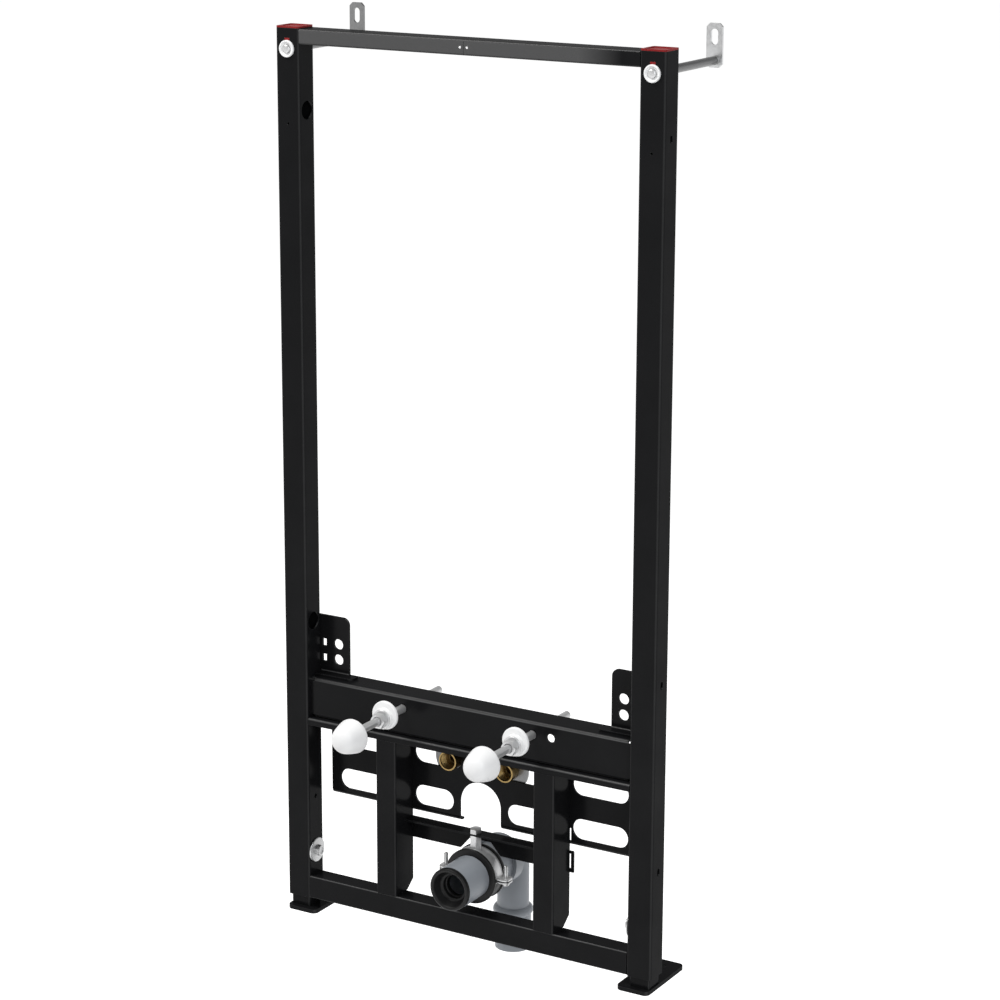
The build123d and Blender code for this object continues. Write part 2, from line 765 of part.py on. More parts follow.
# Stud nut with its washer, in front of the disc
with BuildPart() as right_stud_nut:
    with BuildSketch(Plane.XZ.offset(-front + disc_face)):
        with Locations((mid_x + stud_gap / 2, floor + stud_height)):
            Circle(nut_washer_r)
            Circle(stud_r + stud_clear, mode=Mode.SUBTRACT)
    extrude(amount=nut_washer_t)
    with BuildSketch(Plane.XZ.offset(-front + disc_face + nut_washer_t)):
        with Locations((mid_x + stud_gap / 2, floor + stud_height)):
            RegularPolygon(nut_hex / 2, 6, major_radius=False)
            Circle(stud_r + stud_clear, mode=Mode.SUBTRACT)
    extrude(amount=nut_t)
right_stud_nut.part.label = "right_stud_nut"
export_step(right_stud_nut.part, "parts/right_stud_nut.step")

with BuildPart() as left_stud_nut:
    mirror(right_stud_nut.part, about=mid_plane)
left_stud_nut.part.label = "left_stud_nut"
export_step(left_stud_nut.part, "parts/left_stud_nut.step")

# Stud cap: plastic cover turned about the stud axis, domed in front, with a blind bore
stud_x = mid_x + stud_gap / 2
stud_axis = Axis((stud_x, 0, floor + stud_height), (0, 1, 0))
with BuildPart() as right_stud_cap:
    with BuildSketch(Plane.XY.offset(floor + stud_height)):
        with BuildLine():
            Spline(
                (stud_x, front - cover_front),
                (stud_x + cover_nose_r, front - cover_nose),
                tangents=((1, 0), (cover_r - cover_nose_r, cover_side)),
            )
            Polyline(
                (stud_x + cover_nose_r, front - cover_nose),
                (stud_x + cover_r, front - cover_rear - cover_edge),
                (stud_x + cover_r - cover_edge, front - cover_rear),
                (stud_x + stud_r + stud_clear, front - cover_rear),
                (stud_x + stud_r + stud_clear, front - stud_front - stud_clear),
                (stud_x, front - stud_front - stud_clear),
                (stud_x, front - cover_front),
            )
        make_face()
    revolve(axis=stud_axis)
right_stud_cap.part.label = "right_stud_cap"
export_step(right_stud_cap.part, "parts/right_stud_cap.step")

with BuildPart() as left_stud_cap:
    mirror(right_stud_cap.part, about=mid_plane)
left_stud_cap.part.label = "left_stud_cap"
export_step(left_stud_cap.part, "parts/left_stud_cap.step")

# Water elbow: threaded boss through the plate, clamping flange and a leg turned up behind it
with BuildPart() as right_water_elbow:
    with BuildSketch(Plane.XZ.offset(-front - elbow_front)):
        with Locations((mid_x + elbow_x, floor + slot_high)):
            Circle(elbow_r)
    extrude(amount=elbow_front - elbow_axis)
    with BuildSketch(Plane.XZ.offset(-front - plate_set - plate_sheet - elbow_washer_t)):
        with Locations((mid_x + elbow_x, floor + slot_high)):
            Circle(elbow_flange_r)
    extrude(amount=-elbow_flange)
    with Locations((mid_x + elbow_x, front + elbow_axis, floor + slot_high)):
        Sphere(elbow_r)
    with BuildSketch(Plane.XY.offset(floor + slot_high)):
        with Locations((mid_x + elbow_x, front + elbow_axis)):
            Circle(elbow_leg_r)
    extrude(amount=elbow_leg_top - slot_high)
    with BuildSketch(Plane.XZ.offset(-front - elbow_front)):
        with Locations((mid_x + elbow_x, floor + slot_high)):
            Circle(elbow_bore_r)
    extrude(amount=-elbow_bore_deep, mode=Mode.SUBTRACT)
    with BuildSketch(Plane.XZ.offset(-front - elbow_front - elbow_bore_deep)):
        with Locations((mid_x + elbow_x, floor + slot_high)):
            Circle(elbow_way_r)
    extrude(amount=elbow_front + elbow_bore_deep - elbow_axis, mode=Mode.SUBTRACT)
    with BuildSketch(Plane.XY.offset(floor + slot_high)):
        with Locations((mid_x + elbow_x, front + elbow_axis)):
            Circle(elbow_way_r)
    extrude(amount=elbow_leg_top - slot_high, mode=Mode.SUBTRACT)
right_water_elbow.part.label = "right_water_elbow"
export_step(right_water_elbow.part, "parts/right_water_elbow.step")

with BuildPart() as left_water_elbow:
    mirror(right_water_elbow.part, about=mid_plane)
left_water_elbow.part.label = "left_water_elbow"
export_step(left_water_elbow.part, "parts/left_water_elbow.step")

# Elbow washer between the plate and the elbow's flange
with BuildPart() as right_elbow_washer:
    with BuildSketch(Plane.XZ.offset(-front - plate_set - plate_sheet)):
        with Locations((mid_x + elbow_x, floor + slot_high)):
            Circle(elbow_washer_r)
            Circle(elbow_r + stud_clear, mode=Mode.SUBTRACT)
    extrude(amount=-elbow_washer_t)
right_elbow_washer.part.label = "right_elbow_washer"
export_step(right_elbow_washer.part, "parts/right_elbow_washer.step")

with BuildPart() as left_elbow_washer:
    mirror(right_elbow_washer.part, about=mid_plane)
left_elbow_washer.part.label = "left_elbow_washer"
export_step(left_elbow_washer.part, "parts/left_elbow_washer.step")

# Waste bend: turned bell with a bead, pipe swept round a tight bend, turned spigot
pipe_axis = Axis((mid_x, 0, floor + pipe_height), (0, 1, 0))
drop_axis = Axis((mid_x, front + drop_y, 0), (0, 0, 1))
with BuildPart() as waste_bend:
    with BuildSketch(Plane.XY.offset(floor + pipe_height)):
        with BuildLine():
            Polyline(
                (mid_x + bell_r - bell_wall, front + bell_front),
                (mid_x + bell_r, front + bell_front),
                (mid_x + bell_r, front + bead_front),
                (mid_x + bead_r, front + bead_front),
                (mid_x + bead_r, front + bead_rear),
                (mid_x + drop_r - drop_wall, front + bead_rear),
                (mid_x + drop_r - drop_wall, front + bead_rear - bell_wall),
                (mid_x + bell_r - bell_wall, front + bead_rear - bell_wall),
                close=True,
            )
        make_face()
    revolve(axis=pipe_axis)
    with BuildLine():
        way = FilletPolyline(
            (mid_x, front + bead_rear, floor + pipe_height),
            (mid_x, front + drop_y, floor + pipe_height),
            (mid_x, front + drop_y, floor + spigot_top),
            radius=bend_r,
        )
    with BuildSketch(Plane.XZ.offset(-front - bead_rear)):
        with Locations((mid_x, floor + pipe_height)):
            Circle(drop_r)
            Circle(drop_r - drop_wall, mode=Mode.SUBTRACT)
    sweep(path=way)
    with BuildSketch(Plane.YZ.offset(mid_x)):
        with BuildLine():
            ThreePointArc(
                (front + drop_y + drop_r, floor + spigot_top),
                (front + drop_y + spigot_ring_r, floor + spigot_top - spigot_ring / 2),
                (front + drop_y + spigot_r, floor + spigot_top - spigot_ring),
            )
            Polyline(
                (front + drop_y + spigot_r, floor + spigot_top - spigot_ring),
                (front + drop_y + spigot_r, floor + spigot_low),
                (front + drop_y + spigot_r - drop_wall, floor + spigot_low),
                (front + drop_y + spigot_r - drop_wall, floor + spigot_top - spigot_ring),
                (front + drop_y + drop_r - drop_wall, floor + spigot_top - drop_wall),
                (front + drop_y + drop_r - drop_wall, floor + spigot_top),
                (front + drop_y + drop_r, floor + spigot_top),
            )
        make_face()
    revolve(axis=drop_axis)
waste_bend.part.label = "waste_bend"
export_step(waste_bend.part, "parts/waste_bend.step")

# Inlet seal: rubber ring with a lip over the bell and a stepped cone inside
with BuildPart() as inlet_seal:
    with BuildSketch(Plane.XY.offset(floor + pipe_height)):
        with BuildLine():
            Polyline(
                (mid_x + bell_r, front + bell_front),
                (mid_x + bell_r, front + bell_front - seal_lip),
                (mid_x + seal_mouth_r, front + bell_front - seal_lip),
                (mid_x + seal_throat_r, front + bell_front + seal_cone_deep),
                (mid_x + seal_step_r, front + bell_front + seal_cone_deep),
                (mid_x + seal_step_r, front + bell_front + seal_step_deep),
                (mid_x + seal_way_r, front + bell_front + seal_step_deep),
                (mid_x + seal_way_r, front + bell_front + seal_deep),
                (mid_x + bell_r - bell_wall, front + bell_front + seal_deep),
                (mid_x + bell_r - bell_wall, front + bell_front),
                close=True,
            )
        make_face()
    revolve(axis=pipe_axis)
inlet_seal.part.label = "inlet_seal"
export_step(inlet_seal.part, "parts/inlet_seal.step")

# Clamp lining: rubber ring round the bell with raised edges beside the band
with BuildPart() as clamp_lining:
    with BuildSketch(Plane.XZ.offset(-front - clamp_y + lining_w / 2)):
        with Locations((mid_x, floor + pipe_height)):
            Circle(bell_r + lining_t)
            Circle(bell_r, mode=Mode.SUBTRACT)
    extrude(amount=-lining_w)
    with BuildSketch(Plane.XZ.offset(-front - clamp_y + lining_w / 2)):
        with Locations((mid_x, floor + pipe_height)):
            Circle(clamp_r + lining_lip)
            Circle(bell_r, mode=Mode.SUBTRACT)
    extrude(amount=-lip_w)
    with BuildSketch(Plane.XZ.offset(-front - clamp_y - lining_w / 2)):
        with Locations((mid_x, floor + pipe_height)):
            Circle(clamp_r + lining_lip)
            Circle(bell_r, mode=Mode.SUBTRACT)
    extrude(amount=lip_w)
clamp_lining.part.label = "clamp_lining"
export_step(clamp_lining.part, "parts/clamp_lining.step")

# Upper clamp half: band with side lugs and a hanger nut up to the clamp bar
with BuildPart() as upper_clamp_band:
    with BuildSketch(Plane.XZ.offset(-front - clamp_y + band_w / 2)):
        with Locations((mid_x, floor + pipe_height)):
            Circle(clamp_r)
            Circle(bell_r + lining_t, mode=Mode.SUBTRACT)
        with Locations((mid_x, floor + pipe_height - clamp_r + band_gap / 2)):
            Rectangle(2 * clamp_r, 2 * clamp_r, mode=Mode.SUBTRACT)
        with Locations((mid_x, floor + pipe_height + band_gap / 2 + lug_t / 2)):
            with GridLocations(2 * clamp_r - band_t + lug_reach, 1, 2, 1):
                Rectangle(lug_reach + band_t, lug_t)
    extrude(amount=-band_w)
    with BuildSketch(Plane.XY.offset(floor + clamp_bar_high - clamp_bar_sheet)):
        with Locations((mid_x, front + clamp_y)):
            RegularPolygon(hanger_nut_hex / 2, 6, major_radius=False)
    extrude(amount=-hanger_h - band_t / 2)
    with BuildSketch(Plane.XY.offset(floor + pipe_height)):
        with Locations((mid_x, front + clamp_y)):
            with GridLocations(2 * lug_x, 1, 2, 1):
                Circle(clamp_screw_r + stud_clear)
    extrude(amount=band_gap, mode=Mode.SUBTRACT)
    with BuildSketch(Plane.XY.offset(floor + clamp_bar_high - clamp_bar_sheet)):
        with Locations((mid_x, front + clamp_y)):
            Circle(hanger_r)
    extrude(amount=-hanger_deep, mode=Mode.SUBTRACT)
upper_clamp_band.part.label = "upper_clamp_band"
export_step(upper_clamp_band.part, "parts/upper_clamp_band.step")

# Lower clamp half: band with side lugs
with BuildPart() as lower_clamp_band:
    with BuildSketch(Plane.XZ.offset(-front - clamp_y + band_w / 2)):
        with Locations((mid_x, floor + pipe_height)):
            Circle(clamp_r)
            Circle(bell_r + lining_t, mode=Mode.SUBTRACT)
        with Locations((mid_x, floor + pipe_height + clamp_r - band_gap / 2)):
            Rectangle(2 * clamp_r, 2 * clamp_r, mode=Mode.SUBTRACT)
        with Locations((mid_x, floor + pipe_height - band_gap / 2 - lug_t / 2)):
            with GridLocations(2 * clamp_r - band_t + lug_reach, 1, 2, 1):
                Rectangle(lug_reach + band_t, lug_t)
    extrude(amount=-band_w)
    with BuildSketch(Plane.XY.offset(floor + pipe_height)):
        with Locations((mid_x, front + clamp_y)):
            with GridLocations(2 * lug_x, 1, 2, 1):
                Circle(clamp_screw_r + stud_clear)
    extrude(amount=-band_gap, mode=Mode.SUBTRACT)
lower_clamp_band.part.label = "lower_clamp_band"
export_step(lower_clamp_band.part, "parts/lower_clamp_band.step")

# Hanger bolt: from the top of the clamp bar into the clamp's hanger nut
with BuildPart() as hanger_bolt:
    with BuildSketch(Plane.XY.offset(floor + clamp_bar_high)):
        with Locations((mid_x, front + clamp_y)):
            RegularPolygon(hanger_nut_hex / 2, 6, major_radius=False)
    extrude(amount=hanger_head_t)
    with BuildSketch(Plane.XY.offset(floor + clamp_bar_high)):
        with Locations((mid_x, front + clamp_y)):
            Circle(hanger_r)
    extrude(amount=-clamp_bar_sheet - hanger_deep)
hanger_bolt.part.label = "hanger_bolt"
export_step(hanger_bolt.part, "parts/hanger_bolt.step")
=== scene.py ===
import json
import math
import bpy
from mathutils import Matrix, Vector


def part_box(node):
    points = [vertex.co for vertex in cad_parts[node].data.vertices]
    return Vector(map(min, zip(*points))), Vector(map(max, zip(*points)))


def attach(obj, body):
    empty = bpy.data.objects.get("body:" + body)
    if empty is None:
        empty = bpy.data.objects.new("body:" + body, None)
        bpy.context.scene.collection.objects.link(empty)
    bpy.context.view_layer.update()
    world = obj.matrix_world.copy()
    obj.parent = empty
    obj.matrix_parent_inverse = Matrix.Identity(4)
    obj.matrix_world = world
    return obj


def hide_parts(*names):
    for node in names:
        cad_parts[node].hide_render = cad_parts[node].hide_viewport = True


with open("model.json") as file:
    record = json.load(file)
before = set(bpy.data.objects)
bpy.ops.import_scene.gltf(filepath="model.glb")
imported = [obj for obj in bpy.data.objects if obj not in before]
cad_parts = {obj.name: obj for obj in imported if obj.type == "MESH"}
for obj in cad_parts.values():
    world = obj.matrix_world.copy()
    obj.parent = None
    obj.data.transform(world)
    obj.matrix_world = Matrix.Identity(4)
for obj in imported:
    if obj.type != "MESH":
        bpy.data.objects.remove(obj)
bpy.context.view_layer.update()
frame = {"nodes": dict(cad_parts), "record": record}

nodes = frame["nodes"]

# Viewpoint of the photograph
CAMERA_PLACE = (1.4622, -2.9429, 0.3643)
CAMERA_TURN = 31.406
CAMERA_DIP = 14.252
CAMERA_LENS = 104.964
CAMERA_SHIFT = (0.040, -0.035)

# Studio, its floor just under the feet at their longest
FLOOR_LEVEL = -1.2740
FLOOR_SIZE = 80.0
FLOOR_TONE = 0.80
FLOOR_LIFT = 0.62
SKY_LIGHT = 0.50
SKY_OVERHEAD = 0.35
SKY_HEIGHTS = (0.04, 0.40)
SENSOR_WIDTH = 36.0
VIEW_END = 200.0
MIDDLE = Vector((-0.239, -0.14, -0.55))
LAMPS = [
    ("key_lamp", (-1.45, -1.00, 1.80), (1.3, 1.3), 62.0, (1.0, 0.99, 0.97)),
    ("side_lamp", (2.2, -2.0, 0.9), (1.2, 1.8), 34.0, (0.94, 0.97, 1.0)),
]


# Shared surface effects

def surface_group(name, inputs, outputs):
    group = bpy.data.node_groups.new(name, "ShaderNodeTree")
    for label, value in inputs:
        socket = group.interface.new_socket(label, in_out="INPUT", socket_type="NodeSocketFloat")
        socket.default_value = value
    for label, kind in outputs:
        group.interface.new_socket(label, in_out="OUTPUT", socket_type=kind)
    return group, group.nodes.new("NodeGroupInput"), group.nodes.new("NodeGroupOutput")


def object_noise(tree, detail=2.0, roughness=0.5):
    place = tree.nodes.new("ShaderNodeTexCoord")
    noise = tree.nodes.new("ShaderNodeTexNoise")
    noise.inputs["Detail"].default_value = detail
    noise.inputs["Roughness"].default_value = roughness
    tree.links.new(place.outputs["Object"], noise.inputs["Vector"])
    return noise


def value_step(tree, operation, first, second):
    step = tree.nodes.new("ShaderNodeMath")
    step.operation = operation
    for slot_index, value in enumerate((first, second)):
        if isinstance(value, (int, float)):
            step.inputs[slot_index].default_value = value
        else:
            tree.links.new(value, step.inputs[slot_index])
    return step.outputs[0]


def value_range(tree, value, low, high, to_low, to_high):
    spread = tree.nodes.new("ShaderNodeMapRange")
    spread.clamp = True
    tree.links.new(value, spread.inputs["Value"])
    limits = {"From Min": low, "From Max": high, "To Min": to_low, "To Max": to_high}
    for label, number in limits.items():
        if isinstance(number, (int, float)):
            spread.inputs[label].default_value = number
        else:
            tree.links.new(number, spread.inputs[label])
    return spread.outputs["Result"]


def make_edge_wear():
    # Sharp edges rounded for the light, and a mask of where they rub; the mask also carries a painted edge
    # highlight
    group, given, result = surface_group(
        "wear_and_edge_highlight",
        [("Radius", 0.0006), ("Breakup", 90.0)],
        [("Mask", "NodeSocketFloat"), ("Normal", "NodeSocketVector")])
    tree = group
    rounded = tree.nodes.new("ShaderNodeBevel")
    rounded.samples = 6
    tree.links.new(given.outputs["Radius"], rounded.inputs["Radius"])
    plain = tree.nodes.new("ShaderNodeNewGeometry")
    compare = tree.nodes.new("ShaderNodeVectorMath")
    compare.operation = "DOT_PRODUCT"
    tree.links.new(rounded.outputs["Normal"], compare.inputs[0])
    tree.links.new(plain.outputs["Normal"], compare.inputs[1])
    turned = value_step(tree, "SUBTRACT", 1.0, compare.outputs["Value"])
    edge = value_range(tree, turned, 0.02, 0.25, 0.0, 1.0)
    noise = object_noise(tree, 3.0, 0.6)
    tree.links.new(given.outputs["Breakup"], noise.inputs["Scale"])
    patches = value_range(tree, noise.outputs["Fac"], 0.35, 0.65, 0.25, 1.0)
    tree.links.new(value_step(tree, "MULTIPLY", edge, patches), result.inputs["Mask"])
    tree.links.new(rounded.outputs["Normal"], result.inputs["Normal"])
    return group


def make_fine_grain():
    # Two sizes of grain as one height
    group, given, result = surface_group(
        "fine_grain",
        [("Coarse Scale", 300.0), ("Fine Scale", 1400.0), ("Fine Share", 0.35)],
        [("Height", "NodeSocketFloat"), ("Cloud", "NodeSocketFloat")])
    tree = group
    coarse = object_noise(tree, 1.0, 0.4)
    tree.links.new(given.outputs["Coarse Scale"], coarse.inputs["Scale"])
    fine = object_noise(tree, 2.0, 0.5)
    tree.links.new(given.outputs["Fine Scale"], fine.inputs["Scale"])
    fine_part = value_step(tree, "MULTIPLY", fine.outputs["Fac"], given.outputs["Fine Share"])
    height = value_step(tree, "ADD", coarse.outputs["Fac"], fine_part)
    tree.links.new(height, result.inputs["Height"])
    cloud = object_noise(tree, 4.0, 0.6)
    cloud.inputs["Scale"].default_value = 14.0
    tree.links.new(cloud.outputs["Fac"], result.inputs["Cloud"])
    return group


def make_bend_highlight():
    # Painted highlight: one on rounded bends and corners, nought on faces square to the frame
    group, given, result = surface_group(
        "bend_highlight",
        [("Start", 0.03), ("Full", 0.20)],
        [("Mask", "NodeSocketFloat")])
    tree = group
    surface = tree.nodes.new("ShaderNodeNewGeometry")
    upright = tree.nodes.new("ShaderNodeVectorMath")
    upright.operation = "ABSOLUTE"
    tree.links.new(surface.outputs["Normal"], upright.inputs[0])
    parts = tree.nodes.new("ShaderNodeSeparateXYZ")
    tree.links.new(upright.outputs["Vector"], parts.inputs[0])
    widest = value_step(tree, "MAXIMUM", parts.outputs["X"], parts.outputs["Y"])
    widest = value_step(tree, "MAXIMUM", widest, parts.outputs["Z"])
    slant = value_step(tree, "SUBTRACT", 1.0, widest)
    rub = value_range(tree, slant, given.outputs["Start"], given.outputs["Full"], 0.0, 1.0)
    # Bends that face up get more of the painted highlight, as if lit from above
    level = value_range(tree, parts.outputs["Z"], 0.05, 0.45, 0.35, 1.0)
    rub = value_step(tree, "MULTIPLY", rub, level)
    noise = object_noise(tree, 3.0, 0.6)
    noise.inputs["Scale"].default_value = 45.0
    patches = value_range(tree, noise.outputs["Fac"], 0.30, 0.70, 0.80, 1.0)
    tree.links.new(value_step(tree, "MULTIPLY", rub, patches), result.inputs["Mask"])
    return group


wear_and_edge_highlight = make_edge_wear()
fine_grain = make_fine_grain()
bend_highlight = make_bend_highlight()


# Finishes

def place_group(tree, group, **values):
    node = tree.nodes.new("ShaderNodeGroup")
    node.node_tree = group
    for label, value in values.items():
        node.inputs[label.replace("_", " ")].default_value = value
    return node


def blend_colour(tree, amount, first, second):
    mix = tree.nodes.new("ShaderNodeMix")
    mix.data_type = "RGBA"
    tree.links.new(amount, mix.inputs[0])
    for index, colour in ((6, first), (7, second)):
        if isinstance(colour, tuple):
            mix.inputs[index].default_value = (*colour, 1.0)
        else:
            tree.links.new(colour, mix.inputs[index])
    return mix.outputs[2]


def new_finish(name):
    finish = bpy.data.materials.new(name)
    finish.use_nodes = True
    tree = finish.node_tree
    return finish, tree, tree.nodes["Principled BSDF"]


def bump(tree, shader, height, distance, strength, normal=None):
    node = tree.nodes.new("ShaderNodeBump")
    node.inputs["Distance"].default_value = distance
    node.inputs["Strength"].default_value = strength
    tree.links.new(height, node.inputs["Height"])
    if normal is not None:
        tree.links.new(normal, node.inputs["Normal"])
    tree.links.new(node.outputs["Normal"], shader.inputs["Normal"])


def painted_reflection_fade(tree, start, end):
    # Painted reflection: one on the front face at the start of its length, nought at the end
    place = tree.nodes.new("ShaderNodeTexCoord")
    along = tree.nodes.new("ShaderNodeSeparateXYZ")
    tree.links.new(place.outputs["Object"], along.inputs[0])
    fade = value_range(tree, along.outputs["X"], start, end, 1.0, 0.0)
    surface = tree.nodes.new("ShaderNodeNewGeometry")
    facing = tree.nodes.new("ShaderNodeSeparateXYZ")
    tree.links.new(surface.outputs["Normal"], facing.inputs[0])
    front = value_range(tree, facing.outputs["Y"], -0.98, -0.85, 1.0, 0.0)
    return value_step(tree, "MULTIPLY", fade, front)


LINE_FADE = (-0.470, -0.370)
LINE_LEAST = 0.30
TOP_SOFT = 0.0002


def painted_highlight_band(tree, low, full, top):
    # Painted highlight: one between two heights of the object, fading below them
    place = tree.nodes.new("ShaderNodeTexCoord")
    along = tree.nodes.new("ShaderNodeSeparateXYZ")
    tree.links.new(place.outputs["Object"], along.inputs[0])
    rise = value_range(tree, along.outputs["Z"], low, full, 0.0, 1.0)
    surface = tree.nodes.new("ShaderNodeNewGeometry")
    facing = tree.nodes.new("ShaderNodeSeparateXYZ")
    tree.links.new(surface.outputs["Normal"], facing.inputs[0])
    upper = value_range(tree, facing.outputs["Z"], 0.80, 0.97, 1.0, 0.0)
    below_top = value_range(tree, along.outputs["Z"], top - TOP_SOFT, top + TOP_SOFT, 1.0, 0.6)
    # The painted highlight is weaker toward the left end
    rightward = value_range(tree, along.outputs["X"], *LINE_FADE, LINE_LEAST, 1.0)
    band = value_step(tree, "MULTIPLY", value_step(tree, "MULTIPLY", rise, upper), below_top)
    return value_step(tree, "MULTIPLY", band, rightward)


BLACK_DARK = (0.0064, 0.0065, 0.0070)
BLACK_LIGHT = (0.0088, 0.0089, 0.0096)
# Painted reflection on the top bar's front
PAINTED_FRONT_REFLECTION = (0.078, 0.078, 0.079)
# Painted highlight along the carrier's top bend
PAINTED_CARRIER_HIGHLIGHT = (0.092, 0.092, 0.093)
# Edge wear on the black coat, partly a painted edge highlight
EDGE_WEAR_AND_HIGHLIGHT = (0.050, 0.050, 0.052)
CLOUD_SPAN = (0.3, 0.7)
GRAIN_SPAN = (0.45, 0.9)


def make_black_powder_coat(name, reflection_span=None, highlight_span=None, bend_highlight_tone=0.070):
    finish, tree, shader = new_finish(name)
    edge = place_group(tree, wear_and_edge_highlight, Radius=0.0010, Breakup=70.0)
    grain = place_group(tree, fine_grain, Coarse_Scale=420.0, Fine_Scale=1500.0, Fine_Share=0.3)
    bend = place_group(tree, bend_highlight)
    colour = blend_colour(tree, grain.outputs["Cloud"], BLACK_DARK, BLACK_LIGHT)
    # Painted reflection on the front face, fading out toward the right end
    if reflection_span:
        colour = blend_colour(tree, painted_reflection_fade(tree, *reflection_span), colour, PAINTED_FRONT_REFLECTION)
    # Painted highlight along the carrier's top bend
    if highlight_span:
        colour = blend_colour(tree, painted_highlight_band(tree, *highlight_span), colour, PAINTED_CARRIER_HIGHLIGHT)
    # Painted highlight on the rounded bends
    colour = blend_colour(tree, bend.outputs["Mask"], colour, (bend_highlight_tone, bend_highlight_tone, bend_highlight_tone * 1.01))
    # Edge wear, partly a painted edge highlight
    colour = blend_colour(tree, edge.outputs["Mask"], colour, EDGE_WEAR_AND_HIGHLIGHT)
    tree.links.new(colour, shader.inputs["Base Color"])
    rough = value_range(tree, grain.outputs["Cloud"], *CLOUD_SPAN, 0.42, 0.54)
    tree.links.new(rough, shader.inputs["Roughness"])
    shader.inputs["Specular IOR Level"].default_value = 0.0
    coat = value_range(tree, grain.outputs["Cloud"], *CLOUD_SPAN, 0.11, 0.14)
    tree.links.new(coat, shader.inputs["Coat Weight"])
    shader.inputs["Coat Roughness"].default_value = 0.20
    bump(tree, shader, grain.outputs["Height"], 0.00006, 0.35, edge.outputs["Normal"])
    return finish


def make_zinc(name, shade, tint, rub, smooth, dull, metal=1.0):
    finish, tree, shader = new_finish(name)
    edge = place_group(tree, wear_and_edge_highlight, Radius=0.0004, Breakup=160.0)
    grain = place_group(tree, fine_grain, Coarse_Scale=260.0, Fine_Scale=1800.0, Fine_Share=0.6)
    body = blend_colour(tree, grain.outputs["Height"], shade, tint)
    colour = blend_colour(tree, edge.outputs["Mask"], body, rub)
    tree.links.new(colour, shader.inputs["Base Color"])
    shader.inputs["Metallic"].default_value = metal
    rough = value_range(tree, grain.outputs["Height"], *GRAIN_SPAN, smooth, dull)
    tree.links.new(rough, shader.inputs["Roughness"])
    bump(tree, shader, grain.outputs["Height"], 0.000002, 0.10)
    return finish


def make_moulded(name, shade, tint, rub, roughness, grain_strength, gloss):
    finish, tree, shader = new_finish(name)
    edge = place_group(tree, wear_and_edge_highlight, Radius=0.0006, Breakup=120.0)
    grain = place_group(tree, fine_grain, Coarse_Scale=700.0, Fine_Scale=2600.0, Fine_Share=0.5)
    body = blend_colour(tree, grain.outputs["Cloud"], shade, tint)
    colour = blend_colour(tree, edge.outputs["Mask"], body, rub)
    tree.links.new(colour, shader.inputs["Base Color"])
    rough = value_range(tree, grain.outputs["Cloud"], *CLOUD_SPAN, roughness - 0.04, roughness + 0.06)
    tree.links.new(rough, shader.inputs["Roughness"])
    shader.inputs["Specular IOR Level"].default_value = gloss
    bump(tree, shader, grain.outputs["Height"], 0.00005, grain_strength, edge.outputs["Normal"])
    return finish


def make_brass():
    finish, tree, shader = new_finish("cast_brass")
    edge = place_group(tree, wear_and_edge_highlight, Radius=0.0005, Breakup=140.0)
    grain = place_group(tree, fine_grain, Coarse_Scale=380.0, Fine_Scale=1600.0, Fine_Share=0.5)
    body = blend_colour(tree, grain.outputs["Cloud"], (0.26, 0.180, 0.072), (0.34, 0.238, 0.098))
    colour = blend_colour(tree, edge.outputs["Mask"], body, (0.42, 0.31, 0.15))
    tree.links.new(colour, shader.inputs["Base Color"])
    shader.inputs["Metallic"].default_value = 1.0
    rough = value_range(tree, grain.outputs["Height"], *GRAIN_SPAN, 0.24, 0.40)
    tree.links.new(rough, shader.inputs["Roughness"])
    bump(tree, shader, grain.outputs["Height"], 0.00005, 0.3, edge.outputs["Normal"])
    return finish


# The top bar's front carries a painted reflection, all along but for its right end
TOP_BAR_REFLECTION_SPAN = (-0.092, -0.038)

black_coat = make_black_powder_coat("black_powder_coat")
top_bar_reflection_coat = make_black_powder_coat("top_bar_painted_reflection_coat", TOP_BAR_REFLECTION_SPAN)
carrier_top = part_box("bidet_carrier_bar")[1][2]
HIGHLIGHT_LOW = 0.0040
HIGHLIGHT_FULL = 0.0030
# The carrier's coat carries a painted highlight band just under its top edge
carrier_highlight_coat = make_black_powder_coat(
    "carrier_painted_highlight_coat", highlight_span=(carrier_top - HIGHLIGHT_LOW, carrier_top - HIGHLIGHT_FULL, carrier_top),
    bend_highlight_tone=0.034)
bright_zinc = make_zinc("bright_zinc", (0.62, 0.625, 0.63), (0.72, 0.725, 0.73),
                        (0.80, 0.80, 0.80), 0.28, 0.38)
# Darker copy of zinc: painted shade on the anchor rod shanks and the elbow washers behind the carrier
dull_painted_shade_zinc = make_zinc("dull_painted_shade_zinc", (0.125, 0.126, 0.128), (0.175, 0.176, 0.178),
                      (0.26, 0.26, 0.26), 0.24, 0.36)
grey_zinc = make_zinc("grey_zinc", (0.40, 0.402, 0.404), (0.48, 0.482, 0.484),
                      (0.58, 0.58, 0.58), 0.27, 0.38)
stud_zinc = make_zinc("stud_zinc", (0.58, 0.582, 0.585), (0.60, 0.602, 0.605),
                      (0.66, 0.66, 0.66), 0.30, 0.33, 0.65)
